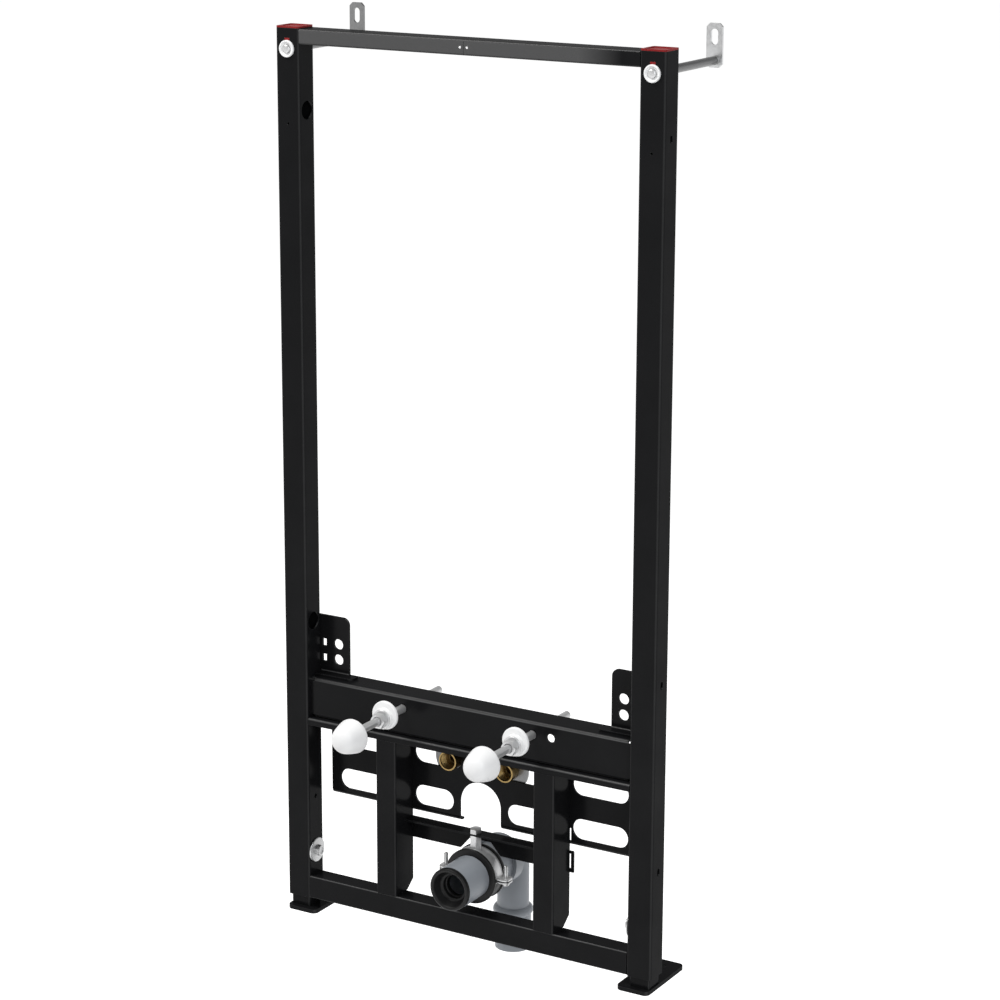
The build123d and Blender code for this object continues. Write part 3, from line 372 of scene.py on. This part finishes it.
# Darker copy of zinc for the left wall plate: painted shade
painted_shade_zinc = make_zinc("painted_shade_zinc", (0.20, 0.201, 0.203), (0.26, 0.261, 0.263),
                        (0.36, 0.36, 0.36), 0.28, 0.38)
red_plastic = make_moulded("red_cap_plastic", (0.19, 0.009, 0.010), (0.24, 0.014, 0.015),
                           (0.34, 0.05, 0.05), 0.42, 0.2, 0.12)
white_plastic = make_moulded("white_nylon", (0.85, 0.85, 0.855), (0.89, 0.89, 0.89),
                             (0.90, 0.90, 0.90), 0.34, 0.15, 0.4)
grey_pipe = make_moulded("grey_waste_pipe", (0.270, 0.290, 0.320), (0.310, 0.332, 0.362),
                         (0.38, 0.40, 0.43), 0.40, 0.2, 0.35)
black_rubber = make_moulded("soft_black_rubber", (0.005, 0.005, 0.005), (0.008, 0.008, 0.0085),
                            (0.030, 0.030, 0.030), 0.42, 0.3, 0.22)
cast_brass = make_brass()

finishes = {
    "black_steel": black_coat,
    "zinc_steel": bright_zinc,
    "red_plastic": red_plastic,
    "white_plastic": white_plastic,
    "grey_pipe": grey_pipe,
    "black_rubber": black_rubber,
    "brass": cast_brass,
}
node_finishes = {
    "top_bar": top_bar_reflection_coat,
    "bidet_carrier_bar": carrier_highlight_coat,
    "right_wall_plate": bright_zinc,
    # The left wall plate in the darker zinc: painted shade
    "left_wall_plate": painted_shade_zinc,
    "right_stud": stud_zinc,
    "left_stud": stud_zinc,
    # The elbow washers in the darker zinc: painted shade
    "right_elbow_washer": dull_painted_shade_zinc,
    "left_elbow_washer": dull_painted_shade_zinc,
}


slot_of = {entry["node"]: entry["material_slot"] for entry in frame["record"]["subparts"]}
for name, piece in nodes.items():
    material = node_finishes.get(name, finishes[slot_of[name]])
    if not piece.material_slots:
        piece.data.materials.append(material)
    for place in piece.material_slots:
        place.material = material


# Modelling

MM = 0.001
TO_FRONT = Vector((0.0, -1.0, 0.0))
TO_RIGHT = Vector((1.0, 0.0, 0.0))
TO_TOP = Vector((0.0, 0.0, 1.0))


def clear_selection():
    if bpy.context.object and bpy.context.object.mode != "OBJECT":
        bpy.ops.object.mode_set(mode="OBJECT")
    bpy.ops.object.select_all(action="DESELECT")


def start_vertex(name, place):
    # A small plane drawn together to one vertex, ready to be extruded
    clear_selection()
    bpy.ops.mesh.primitive_plane_add(size=MM, location=place, enter_editmode=True)
    piece = bpy.context.object
    piece.name = name
    bpy.ops.mesh.select_mode(type="VERT")
    bpy.ops.mesh.select_all(action="SELECT")
    bpy.ops.mesh.merge(type="CENTER")
    return piece


def draw_line(points):
    # Extrudes the selected vertex from point to point
    for here, there in zip(points, points[1:]):
        bpy.ops.mesh.extrude_vertices_move(TRANSFORM_OT_translate={"value": there - here})


MERGE_WITHIN = 0.000002


def close_mesh():
    bpy.ops.mesh.select_all(action="SELECT")
    bpy.ops.mesh.remove_doubles(threshold=MERGE_WITHIN)
    bpy.ops.mesh.normals_make_consistent(inside=False)


def turned(name, start, axis, side, outline, steps=48):
    # A turned piece: its outline in millimetres along the axis and out from it, spun once round
    points = [start + axis * along * MM + side * out * MM for along, out in outline]
    piece = start_vertex(name, points[0])
    draw_line(points)
    bpy.ops.mesh.select_all(action="SELECT")
    bpy.ops.mesh.spin(steps=steps, angle=2 * math.pi, center=start, axis=axis)
    close_mesh()
    bpy.ops.object.mode_set(mode="OBJECT")
    bpy.ops.object.transform_apply(location=True, rotation=True, scale=True)
    return piece


def apply_modifier(piece, kind, **settings):
    clear_selection()
    piece.select_set(True)
    bpy.context.view_layer.objects.active = piece
    step = piece.modifiers.new(kind.lower(), kind)
    for label, value in settings.items():
        setattr(step, label, value)
    bpy.ops.object.modifier_apply(modifier=step.name)


def cut_to(piece, other, operation):
    apply_modifier(piece, "BOOLEAN", operation=operation, object=other, solver="EXACT")
    bpy.data.objects.remove(other, do_unlink=True)


HEX_CORNER = 0.25
HEX_CHAMFER = 30.0
HEX_FACE_SHARE = 0.96
HEX_SPARE = 1.0


def hexagon(name, start, axis, side, flats, length, low_edge, high_edge):
    # A hexagon head or nut: a six-sided bar with rounded corners, cut to a chamfered turned body
    corner = flats / 2 / math.cos(math.pi / 6)
    clear_selection()
    turn = axis.to_track_quat("Z", "Y").to_euler()
    bpy.ops.mesh.primitive_cylinder_add(
        vertices=6, radius=corner * MM, depth=(length + 2 * HEX_SPARE) * MM,
        location=start + axis * length / 2 * MM, rotation=turn)
    piece = bpy.context.object
    piece.name = name
    bpy.ops.object.transform_apply(location=True, rotation=True, scale=True)
    place = (piece.data.vertices[0].co - start).normalized()
    lean = math.atan2(place.cross(side).dot(axis), place.dot(side))
    bpy.ops.object.mode_set(mode="EDIT")
    bpy.ops.mesh.select_all(action="SELECT")
    spin_to(start, axis, lean)
    bpy.ops.mesh.select_mode(type="EDGE")
    bpy.ops.mesh.select_all(action="DESELECT")
    bpy.ops.object.mode_set(mode="OBJECT")
    for edge in piece.data.edges:
        ends = [piece.data.vertices[index].co for index in edge.vertices]
        edge.select = abs((ends[1] - ends[0]).normalized().dot(axis)) > 0.9
    bpy.ops.object.mode_set(mode="EDIT")
    bpy.ops.mesh.bevel(offset=HEX_CORNER * MM, segments=2, affect="EDGES")
    bpy.ops.object.mode_set(mode="OBJECT")
    rise = math.tan(math.radians(HEX_CHAMFER))
    wide = corner + HEX_SPARE
    face = flats / 2 * HEX_FACE_SHARE
    drop = (wide - face) * rise
    body = turned(name + "_body", start, axis, side, [
        (0.0, 0.0),
        (0.0, face if low_edge else wide),
        (drop if low_edge else 0.0, wide),
        (length - (drop if high_edge else 0.0), wide),
        (length, face if high_edge else wide),
        (length, 0.0),
    ], 64)
    cut_to(piece, body, "INTERSECT")
    return piece


def spin_to(start, axis, angle):
    # Turns the selection about an axis; without a window the operator turns the other way
    if abs(angle) > 0.0001:
        letter = "XYZ"[max(range(3), key=lambda index: abs(axis[index]))]
        sign = -1.0 if axis["XYZ".index(letter)] > 0 else 1.0
        bpy.ops.transform.rotate(value=sign * angle, orient_axis=letter, center_override=start)


def join(first, *others):
    clear_selection()
    for piece in (first, *others):
        piece.select_set(True)
    bpy.context.view_layer.objects.active = first
    bpy.ops.object.join()
    return first


def copy_piece(piece, name, shift):
    clear_selection()
    piece.select_set(True)
    bpy.context.view_layer.objects.active = piece
    bpy.ops.object.duplicate(linked=False)
    twin = bpy.context.object
    twin.name = name
    bpy.ops.transform.translate(value=shift)
    bpy.ops.object.transform_apply(location=True, rotation=True, scale=True)
    return twin


def finish_piece(piece, slot, finish, *replaced, smooth=32.0):
    clear_selection()
    piece.select_set(True)
    bpy.context.view_layer.objects.active = piece
    bpy.ops.object.transform_apply(location=True, rotation=True, scale=True)
    bpy.ops.object.shade_smooth_by_angle(angle=math.radians(smooth))
    if finish:
        piece.data.materials.clear()
        piece.data.materials.append(finish)
    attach(piece, "frame")
    if replaced:
        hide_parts(*replaced)


def middle_of(node):
    low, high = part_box(node)
    return (Vector(low) + Vector(high)) / 2


# Wall anchors: dished washers, rods with domed ends, their outlines in millimetres

DISHED_OUTLINE = [
    (0.0, 5.3), (0.0, 10.0), (1.7, 10.0), (2.25, 9.75), (2.5, 9.2), (2.5, 8.3), (2.3, 7.9),
    (1.1, 6.7), (0.7, 6.4), (0.7, 5.3), (0.0, 5.3)]
ROD_R = 5.0
ROD_REAR = [(0.0, 0.0), (0.0, 4.3), (0.6, 4.9), (1.2, ROD_R)]
ROD_BRIGHT_END = 4.0
ROD_DOME = [
    (ROD_BRIGHT_END, ROD_R), (1.9, ROD_R), (1.3, 4.75), (0.8, 4.2), (0.4, 3.2), (0.1, 1.7), (0.0, 0.0)]


def make_anchor_washer():
    low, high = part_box("right_anchor_washer")
    seat = Vector(((low[0] + high[0]) / 2, high[1], (low[2] + high[2]) / 2))
    return turned("right_dished_washer", seat, TO_FRONT, TO_RIGHT, DISHED_OUTLINE, 64)


def make_anchor_rod():
    low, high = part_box("right_anchor_rod")
    rear = Vector(((low[0] + high[0]) / 2, high[1], (low[2] + high[2]) / 2))
    length = (high[1] - low[1]) / MM
    outline = ROD_REAR + [(length - back, out) for back, out in ROD_DOME]
    piece = turned("right_domed_rod", rear, TO_FRONT, TO_RIGHT, outline, 40)
    # The rod's shank in the darker zinc, painted shade; its domed front end in the lighter stud zinc
    piece.data.materials.append(dull_painted_shade_zinc)
    piece.data.materials.append(stud_zinc)
    for face in piece.data.polygons:
        if face.center.y < low[1] + ROD_BRIGHT_END * MM:
            face.material_index = 1
    return piece


ANCHOR_SHIFT = middle_of("left_anchor_rod") - middle_of("right_anchor_rod")
washer = make_anchor_washer()
rod = make_anchor_rod()
left_washer = copy_piece(washer, "left_dished_washer", ANCHOR_SHIFT)
left_rod = copy_piece(rod, "left_domed_rod", ANCHOR_SHIFT)
finish_piece(washer, "white_plastic", white_plastic, "right_anchor_washer")
finish_piece(left_washer, "white_plastic", white_plastic, "left_anchor_washer")
finish_piece(rod, "zinc_steel", None, "right_anchor_rod")
finish_piece(left_rod, "zinc_steel", None, "left_anchor_rod")


# Stud nuts: chamfered hexagon with a washer

NUT_WASHER = [(0.0, 5.25), (0.0, 11.5), (0.3, 11.8), (1.7, 11.8), (2.0, 11.5), (2.0, 5.25), (0.0, 5.25)]
NUT_WASHER_T = 2.0
NUT_FLATS = 17.0
NUT_HIGH = 9.0
NUT_BORE = [(-1.0, 0.0), (-1.0, 5.2), (9.8, 5.2), (12.0, 7.0), (12.0, 0.0)]


def make_stud_nut():
    low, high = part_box("right_stud_nut")
    seat = Vector(((low[0] + high[0]) / 2, high[1], (low[2] + high[2]) / 2))
    plate = turned("right_washer_and_nut", seat, TO_FRONT, TO_RIGHT, NUT_WASHER, 56)
    nut = hexagon("stud_hexagon", seat + TO_FRONT * NUT_WASHER_T * MM, TO_FRONT, TO_RIGHT,
                  NUT_FLATS, NUT_HIGH, True, True)
    bore = turned("stud_bore", seat, TO_FRONT, TO_RIGHT, NUT_BORE, 48)
    cut_to(nut, bore, "DIFFERENCE")
    return join(plate, nut)


STUD_SHIFT = middle_of("left_stud_nut") - middle_of("right_stud_nut")
stud_nut = make_stud_nut()
left_stud_nut = copy_piece(stud_nut, "left_washer_and_nut", STUD_SHIFT)
finish_piece(stud_nut, "zinc_steel", stud_zinc, "right_stud_nut")
finish_piece(left_stud_nut, "zinc_steel", stud_zinc, "left_stud_nut")


# Stud discs: soft-edged plates that sit a little high on the studs, each with a boss for the nut

DISC_RISE = 3.0
DISC_PLATE = [
    (0.0, 0.0), (0.0, 17.2), (0.3, 17.5), (2.5, 17.5), (3.3, 17.2), (3.8, 16.7), (4.0, 16.0), (4.0, 0.0)]
DISC_BOSS = [(2.0, 0.0), (2.0, 12.8), (7.9, 12.8), (8.3, 12.6), (8.5, 12.2), (8.5, 0.0)]
DISC_BORE = [(-1.0, 0.0), (-1.0, 5.2), (10.0, 5.2), (10.0, 0.0)]


def make_stud_disc():
    low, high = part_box("right_stud_disc")
    seat = Vector(((low[0] + high[0]) / 2, high[1], (low[2] + high[2]) / 2))
    raised = seat + TO_TOP * DISC_RISE * MM
    plate = turned("right_raised_disc", raised, TO_FRONT, TO_RIGHT, DISC_PLATE, 64)
    boss = turned("disc_boss", seat, TO_FRONT, TO_RIGHT, DISC_BOSS, 64)
    cut_to(plate, boss, "UNION")
    bore = turned("disc_bore", seat, TO_FRONT, TO_RIGHT, DISC_BORE, 48)
    cut_to(plate, bore, "DIFFERENCE")
    return plate


DISC_SHIFT = middle_of("left_stud_disc") - middle_of("right_stud_disc")
stud_disc = make_stud_disc()
left_stud_disc = copy_piece(stud_disc, "left_raised_disc", DISC_SHIFT)
finish_piece(stud_disc, "white_plastic", white_plastic, "right_stud_disc", smooth=40.0)
finish_piece(left_stud_disc, "white_plastic", white_plastic, "left_stud_disc", smooth=40.0)


# Stud caps: loose rounded covers that hang on the stud ends

CAP_HANG = Vector((-1.5, 0.0, -3.0)) * MM
CAP_LONG = 31.0
CAP_OUTLINE = [
    (3.0, 0.0), (3.0, 9.0), (0.4, 9.6), (0.0, 10.2), (0.0, 18.9), (0.4, 20.0), (1.3, 20.8), (2.6, 20.9),
    (6.0, 20.3), (12.0, 18.9), (18.0, 17.3), (22.5, 15.8), (25.2, 14.3), (27.4, 12.3), (29.2, 9.4),
    (30.3, 6.2), (30.9, 2.8), (CAP_LONG, 0.0)]


def make_stud_cap():
    low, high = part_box("right_stud_cap")
    rear = Vector(((low[0] + high[0]) / 2, low[1] + CAP_LONG * MM, (low[2] + high[2]) / 2)) + CAP_HANG
    return turned("right_rounded_cap", rear, TO_FRONT, TO_RIGHT, CAP_OUTLINE, 72)


CAP_SHIFT = middle_of("left_stud_cap") - middle_of("right_stud_cap")
stud_cap = make_stud_cap()
left_stud_cap = copy_piece(stud_cap, "left_rounded_cap", CAP_SHIFT)
finish_piece(stud_cap, "white_plastic", white_plastic, "right_stud_cap", smooth=40.0)
finish_piece(left_stud_cap, "white_plastic", white_plastic, "left_stud_cap", smooth=40.0)


# Foot bolts: round flange, small hexagon with a dished face

RIGHT_BOLT_FACE = -16.0
LEFT_BOLT_FACE = -462.0
BOLT_FLANGE = [
    (0.0, 0.0), (0.0, 15.2), (0.3, 15.5), (1.2, 15.5), (1.7, 15.1), (2.0, 14.4), (2.1, 9.0), (2.6, 8.0),
    (2.6, 0.0)]
BOLT_HEAD_SET = 2.2
BOLT_FLATS = 13.0
BOLT_HIGH = 5.3
BOLT_FACE = 7.5
BOLT_DISH = [(-0.9, 0.0), (-0.9, 3.2), (-0.5, 3.9), (0.6, 4.3), (0.6, 0.0)]


def make_foot_bolt(side_word, axis):
    low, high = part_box(side_word + "_foot_bolt")
    face = RIGHT_BOLT_FACE if axis.x < 0 else LEFT_BOLT_FACE
    seat = Vector((face * MM, (low[1] + high[1]) / 2, (low[2] + high[2]) / 2))
    flange = turned(side_word + "_flanged_bolt", seat, axis, TO_TOP, BOLT_FLANGE, 56)
    head = hexagon(side_word + "_bolt_hexagon", seat + axis * BOLT_HEAD_SET * MM, axis, TO_TOP,
                   BOLT_FLATS, BOLT_HIGH, False, True)
    dish = turned(side_word + "_dish", seat + axis * BOLT_FACE * MM, axis, TO_TOP, BOLT_DISH, 48)
    cut_to(head, dish, "DIFFERENCE")
    return join(flange, head)


finish_piece(make_foot_bolt("right", -TO_RIGHT), "zinc_steel", grey_zinc, "right_foot_bolt")
finish_piece(make_foot_bolt("left", TO_RIGHT), "zinc_steel", grey_zinc, "left_foot_bolt")


# Pipe clamp: bent bands with rounded ears, hanger nut and bolt, two screws

CLAMP = Vector((-239.0, -120.0, -982.0)) * MM
BAND_MIDDLE = 32.2
BAND_WIDE = 17.5
EAR_TIP = 49.0
EAR_LEVEL = 1.7
EAR_ROUND = 6.2
EAR_START = 10.0
EAR_BEND = [(38.0, EAR_LEVEL), (35.0, EAR_LEVEL), (33.8, 2.0), (32.8, 2.8), (32.2, 4.0)]
BAND_THICK = 2.0
BAND_EDGE = 0.3
# The lower band below its ears is painted black: painted shade
PAINTED_SHADE_REACH = 33.2
PAINTED_SHADE_TOP = 4.6
HANGER_FLATS = 13.0
HANGER_NUT_HIGH = 17.7
HANGER_HEAD_HIGH = 6.0
HANGER_SHANK_R = 4.0
HANGER_SHANK_SHORT = 5.5
SCREW_OUT = 42.0
SCREW_OUTLINE = [
    (-7.6, 0.0), (-7.5, 2.0), (-7.0, 3.6), (-6.2, 4.4), (-5.0, 4.6), (-2.6, 4.6), (-2.6, 2.5), (16.6, 2.5),
    (17.6, 2.2), (18.2, 1.5), (18.4, 0.0)]
LINING_OUTLINE = [
    (-14.0, 26.6), (-14.0, 33.2), (-13.7, 34.0), (-12.9, 34.4), (-9.8, 34.4), (-9.2, 34.0), (-9.0, 33.3),
    (-9.0, 31.1), (9.0, 31.1), (9.0, 33.3), (9.2, 34.0), (9.8, 34.4), (12.0, 34.4), (12.7, 34.0),
    (13.0, 33.2), (13.0, 26.6), (-14.0, 26.6)]


def band_line(steps=36):
    # Half the clamp from the right ear, over the ring, to the left ear, in millimetres
    start = math.radians(EAR_START)
    half = [(EAR_TIP, EAR_LEVEL)] + EAR_BEND
    ring = []
    for step in range(steps + 1):
        angle = start + (math.pi - 2 * start) * step / steps
        ring.append((BAND_MIDDLE * math.cos(angle), BAND_MIDDLE * math.sin(angle)))
    return half + ring + [(-out, rise) for out, rise in reversed(half)]


def make_band(name, turn_over):
    sign = -1.0 if turn_over else 1.0
    corner = CLAMP + TO_FRONT * BAND_WIDE / 2 * MM
    points = [corner + TO_RIGHT * out * MM + TO_TOP * sign * rise * MM for out, rise in band_line()]
    piece = start_vertex(name, points[0])
    draw_line(points)
    bpy.ops.mesh.select_all(action="SELECT")
    bpy.ops.mesh.extrude_region_move(TRANSFORM_OT_translate={"value": -TO_FRONT * BAND_WIDE * MM})
    bpy.ops.mesh.select_all(action="SELECT")
    bpy.ops.mesh.remove_doubles(threshold=MERGE_WITHIN)
    bpy.ops.mesh.select_all(action="DESELECT")
    bpy.ops.object.mode_set(mode="OBJECT")
    bpy.ops.object.transform_apply(location=True, rotation=True, scale=True)
    for vertex in piece.data.vertices:
        vertex.select = abs(vertex.co.x - CLAMP.x) > (EAR_TIP - 0.5) * MM
    bpy.ops.object.mode_set(mode="EDIT")
    bpy.ops.mesh.select_mode(type="VERT")
    bpy.ops.mesh.bevel(offset=EAR_ROUND * MM, segments=7, affect="VERTICES", profile=0.5)
    bpy.ops.mesh.select_all(action="SELECT")
    bpy.ops.mesh.normals_make_consistent(inside=False)
    bpy.ops.object.mode_set(mode="OBJECT")
    apply_modifier(piece, "SOLIDIFY", thickness=BAND_THICK * MM, offset=0.0, use_even_offset=True)
    apply_modifier(piece, "BEVEL", width=BAND_EDGE * MM, segments=2, limit_method="ANGLE",
                   angle_limit=math.radians(50.0))
    return piece


def make_upper_band():
    piece = make_band("upper_bent_band", False)
    foot = CLAMP + TO_TOP * BAND_MIDDLE * MM
    nut = hexagon("hanger_hexagon", foot, TO_TOP, TO_RIGHT, HANGER_FLATS, HANGER_NUT_HIGH, False, True)
    return join(piece, nut)


def make_lower_band():
    piece = make_band("lower_bent_band", True)
    piece.data.materials.append(grey_zinc)
    piece.data.materials.append(black_rubber)
    # The band's lower half within the ring takes the black rubber finish: painted shade
    for face in piece.data.polygons:
        in_ring = abs(face.center.x - CLAMP.x) < PAINTED_SHADE_REACH * MM
        if in_ring and face.center.z < CLAMP.z - PAINTED_SHADE_TOP * MM:
            face.material_index = 1
    return piece


def make_hanger_bolt():
    low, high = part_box("hanger_bolt")
    seat = Vector((CLAMP.x, CLAMP.y, high[2] - HANGER_HEAD_HIGH * MM))
    head = hexagon("hanger_bolt_head", seat, TO_TOP, TO_RIGHT, HANGER_FLATS, HANGER_HEAD_HIGH, False, True)
    shank_end = (high[2] - low[2]) / MM - HANGER_SHANK_SHORT
    shank = turned("hanger_shank", Vector((CLAMP.x, CLAMP.y, low[2])), TO_TOP, TO_RIGHT, [
        (0.0, 0.0), (0.0, 3.4), (0.6, HANGER_SHANK_R), (shank_end, HANGER_SHANK_R), (shank_end, 0.0)], 32)
    return join(head, shank)


def make_clamp_screw(name, side):
    foot = CLAMP + TO_RIGHT * side * SCREW_OUT * MM
    return turned(name, foot, TO_TOP, TO_RIGHT, SCREW_OUTLINE, 28)


def make_lining():
    # Rubber ring round the bell, its rounded edges beside the band
    return turned("rounded_clamp_lining", CLAMP, TO_FRONT, TO_RIGHT, LINING_OUTLINE, 72)


finish_piece(make_lining(), "black_rubber", black_rubber, "clamp_lining", smooth=40.0)
finish_piece(make_upper_band(), "zinc_steel", stud_zinc, "upper_clamp_band", smooth=40.0)
finish_piece(make_lower_band(), "zinc_steel", None, "lower_clamp_band", smooth=40.0)
finish_piece(make_hanger_bolt(), "zinc_steel", grey_zinc, "hanger_bolt")
finish_piece(make_clamp_screw("right_clamp_screw", 1.0), "zinc_steel", grey_zinc)
finish_piece(make_clamp_screw("left_clamp_screw", -1.0), "zinc_steel", grey_zinc)


# Inlet seal: rounded lip over the bell, stepped cone inside

SEAL_LIP = 6.0
SEAL_OUTLINE = [
    (0.0, 26.5), (-3.6, 26.5), (-4.9, 26.1), (-5.7, 25.3), (-6.0, 24.2), (-5.9, 23.2), (-5.5, 22.4),
    (-4.7, 21.8), (-3.5, 21.3), (4.4, 18.3), (5.4, 17.7), (5.9, 16.9), (6.0, 15.9), (6.3, 15.0), (7.0, 14.6),
    (10.4, 14.5), (11.1, 14.3), (11.4, 13.7), (11.7, 13.2), (12.3, 13.0), (17.4, 13.0), (18.0, 13.6),
    (18.0, 24.0), (0.0, 24.0), (0.0, 26.5)]


def make_inlet_seal():
    low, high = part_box("inlet_seal")
    mouth = Vector(((low[0] + high[0]) / 2, low[1] + SEAL_LIP * MM, (low[2] + high[2]) / 2))
    return turned("rounded_inlet_seal", mouth, -TO_FRONT, TO_RIGHT, SEAL_OUTLINE, 72)


finish_piece(make_inlet_seal(), "black_rubber", black_rubber, "inlet_seal", smooth=40.0)


# Centre marks on the top bar: two small pins and a scribed line between them

CENTRE_MARK = Vector((-239.0, -149.5, 14.5))
PIN_APART = 4.6
PIN_OUTLINE = [(-1.4, 0.0), (-1.4, 1.5), (0.05, 1.5), (0.2, 1.3), (0.3, 0.8), (0.32, 0.0)]
LINE_SIZE = (0.5, 0.12, 15.0)
LINE_EDGE = 0.03


def make_centre_pin(name, side):
    seat = (CENTRE_MARK + TO_RIGHT * PIN_APART * side) * MM
    return turned(name, seat, TO_FRONT, TO_RIGHT, PIN_OUTLINE, 20)


def make_scribed_line():
    clear_selection()
    bpy.ops.mesh.primitive_cube_add(size=MM, location=CENTRE_MARK * MM, enter_editmode=True)
    piece = bpy.context.object
    piece.name = "top_bar_scribed_line"
    bpy.ops.transform.resize(value=LINE_SIZE)
    bpy.ops.mesh.bevel(offset=LINE_EDGE * MM, segments=1, affect="EDGES")
    close_mesh()
    bpy.ops.object.mode_set(mode="OBJECT")
    return piece


finish_piece(make_centre_pin("right_centre_pin", 1.0), "zinc_steel", white_plastic)
finish_piece(make_centre_pin("left_centre_pin", -1.0), "zinc_steel", white_plastic)
finish_piece(make_scribed_line(), "zinc_steel", black_rubber)


# Threads in the mouths of the water elbows

ELBOW_MOUTH = Vector((-199.5, -121.0, -846.0))
THREAD_SET = 1.6
THREAD_PITCH = 1.8
THREAD_TURNS = 6
THREAD_STEPS = 36
THREAD_OUTLINE = [(0.0, 10.3), (0.75, 9.45), (1.05, 9.45), (THREAD_PITCH, 10.3)]


def make_elbow_thread():
    mouth = ELBOW_MOUTH * MM
    start = mouth - TO_FRONT * THREAD_SET * MM
    points = [start + TO_RIGHT * out * MM - TO_FRONT * along * MM for along, out in THREAD_OUTLINE]
    piece = start_vertex("right_elbow_thread", points[0])
    draw_line(points)
    bpy.ops.object.mode_set(mode="OBJECT")
    bpy.context.scene.cursor.location = start
    bpy.ops.object.origin_set(type="ORIGIN_CURSOR")
    apply_modifier(piece, "SCREW", axis="Y", screw_offset=THREAD_PITCH * MM, iterations=THREAD_TURNS,
                   steps=THREAD_STEPS, render_steps=THREAD_STEPS, use_merge_vertices=True,
                   merge_threshold=0.00001, use_smooth_shade=False)
    bpy.ops.object.mode_set(mode="EDIT")
    close_mesh()
    bpy.ops.mesh.flip_normals()
    bpy.ops.object.mode_set(mode="OBJECT")
    return piece


ELBOW_SHIFT = middle_of("left_water_elbow") - middle_of("right_water_elbow")
thread = make_elbow_thread()
left_thread = copy_piece(thread, "left_elbow_thread", ELBOW_SHIFT)
finish_piece(thread, "brass", cast_brass)
finish_piece(left_thread, "brass", cast_brass)


# Studio: pale floor, soft lamps, white surroundings

def seen_rays(tree):
    # One where the camera, a reflection or a clear piece looks at the surroundings
    path = tree.nodes.new("ShaderNodeLightPath")
    seen = value_step(tree, "MAXIMUM", path.outputs["Is Camera Ray"], path.outputs["Is Glossy Ray"])
    return value_step(tree, "MAXIMUM", seen, path.outputs["Is Transmission Ray"])


def make_floor():
    bpy.ops.object.select_all(action="DESELECT")
    bpy.ops.mesh.primitive_plane_add(size=FLOOR_SIZE, location=(MIDDLE.x, MIDDLE.y, FLOOR_LEVEL))
    floor = bpy.context.object
    floor.name = "studio_floor"
    paint = bpy.data.materials.new("pale_floor")
    paint.use_nodes = True
    tree = paint.node_tree
    tree.nodes.clear()
    matt = tree.nodes.new("ShaderNodeBsdfDiffuse")
    matt.inputs["Color"].default_value = (FLOOR_TONE, FLOOR_TONE, FLOOR_TONE, 1.0)
    glow = tree.nodes.new("ShaderNodeEmission")
    glow.inputs["Color"].default_value = (1.0, 1.0, 1.0, 1.0)
    lift = value_step(tree, "MULTIPLY", seen_rays(tree), FLOOR_LIFT)
    tree.links.new(lift, glow.inputs["Strength"])
    both = tree.nodes.new("ShaderNodeAddShader")
    tree.links.new(matt.outputs[0], both.inputs[0])
    tree.links.new(glow.outputs[0], both.inputs[1])
    out = tree.nodes.new("ShaderNodeOutputMaterial")
    tree.links.new(both.outputs[0], out.inputs["Surface"])
    floor.data.materials.append(paint)


def make_surroundings():
    world = bpy.data.worlds.new("white_studio")
    bpy.context.scene.world = world
    world.use_nodes = True
    tree = world.node_tree
    sky = tree.nodes["Background"]
    sky.inputs["Color"].default_value = (1.0, 1.0, 1.0, 1.0)
    way = tree.nodes.new("ShaderNodeTexCoord")
    height = tree.nodes.new("ShaderNodeSeparateXYZ")
    tree.links.new(way.outputs["Generated"], height.inputs[0])
    overhead = value_range(tree, height.outputs["Z"], *SKY_HEIGHTS, 1.0, SKY_OVERHEAD)
    strength = value_range(tree, seen_rays(tree), 0.0, 1.0, SKY_LIGHT, overhead)
    tree.links.new(strength, sky.inputs["Strength"])


def soft_lamp(name, place, size, power, colour):
    bpy.ops.object.light_add(type="AREA", location=place)
    lamp = bpy.context.object
    lamp.name = name
    lamp.data.shape = "RECTANGLE"
    lamp.data.size = size[0]
    lamp.data.size_y = size[1]
    lamp.data.energy = power
    lamp.data.color = colour
    lamp.rotation_euler = (MIDDLE - Vector(place)).to_track_quat("-Z", "Y").to_euler()


def make_camera():
    bpy.ops.object.camera_add(
        location=CAMERA_PLACE,
        rotation=(math.radians(90.0 - CAMERA_DIP), 0.0, math.radians(CAMERA_TURN)))
    camera = bpy.context.object
    camera.name = "photo_camera"
    camera.data.sensor_width = SENSOR_WIDTH
    camera.data.lens = CAMERA_LENS
    camera.data.shift_x = CAMERA_SHIFT[0]
    camera.data.shift_y = CAMERA_SHIFT[1]
    camera.data.clip_end = VIEW_END
    bpy.context.scene.camera = camera


make_floor()
make_surroundings()
for lamp in LAMPS:
    soft_lamp(*lamp)
make_camera()

bpy.context.scene.view_settings.view_transform = "Standard"
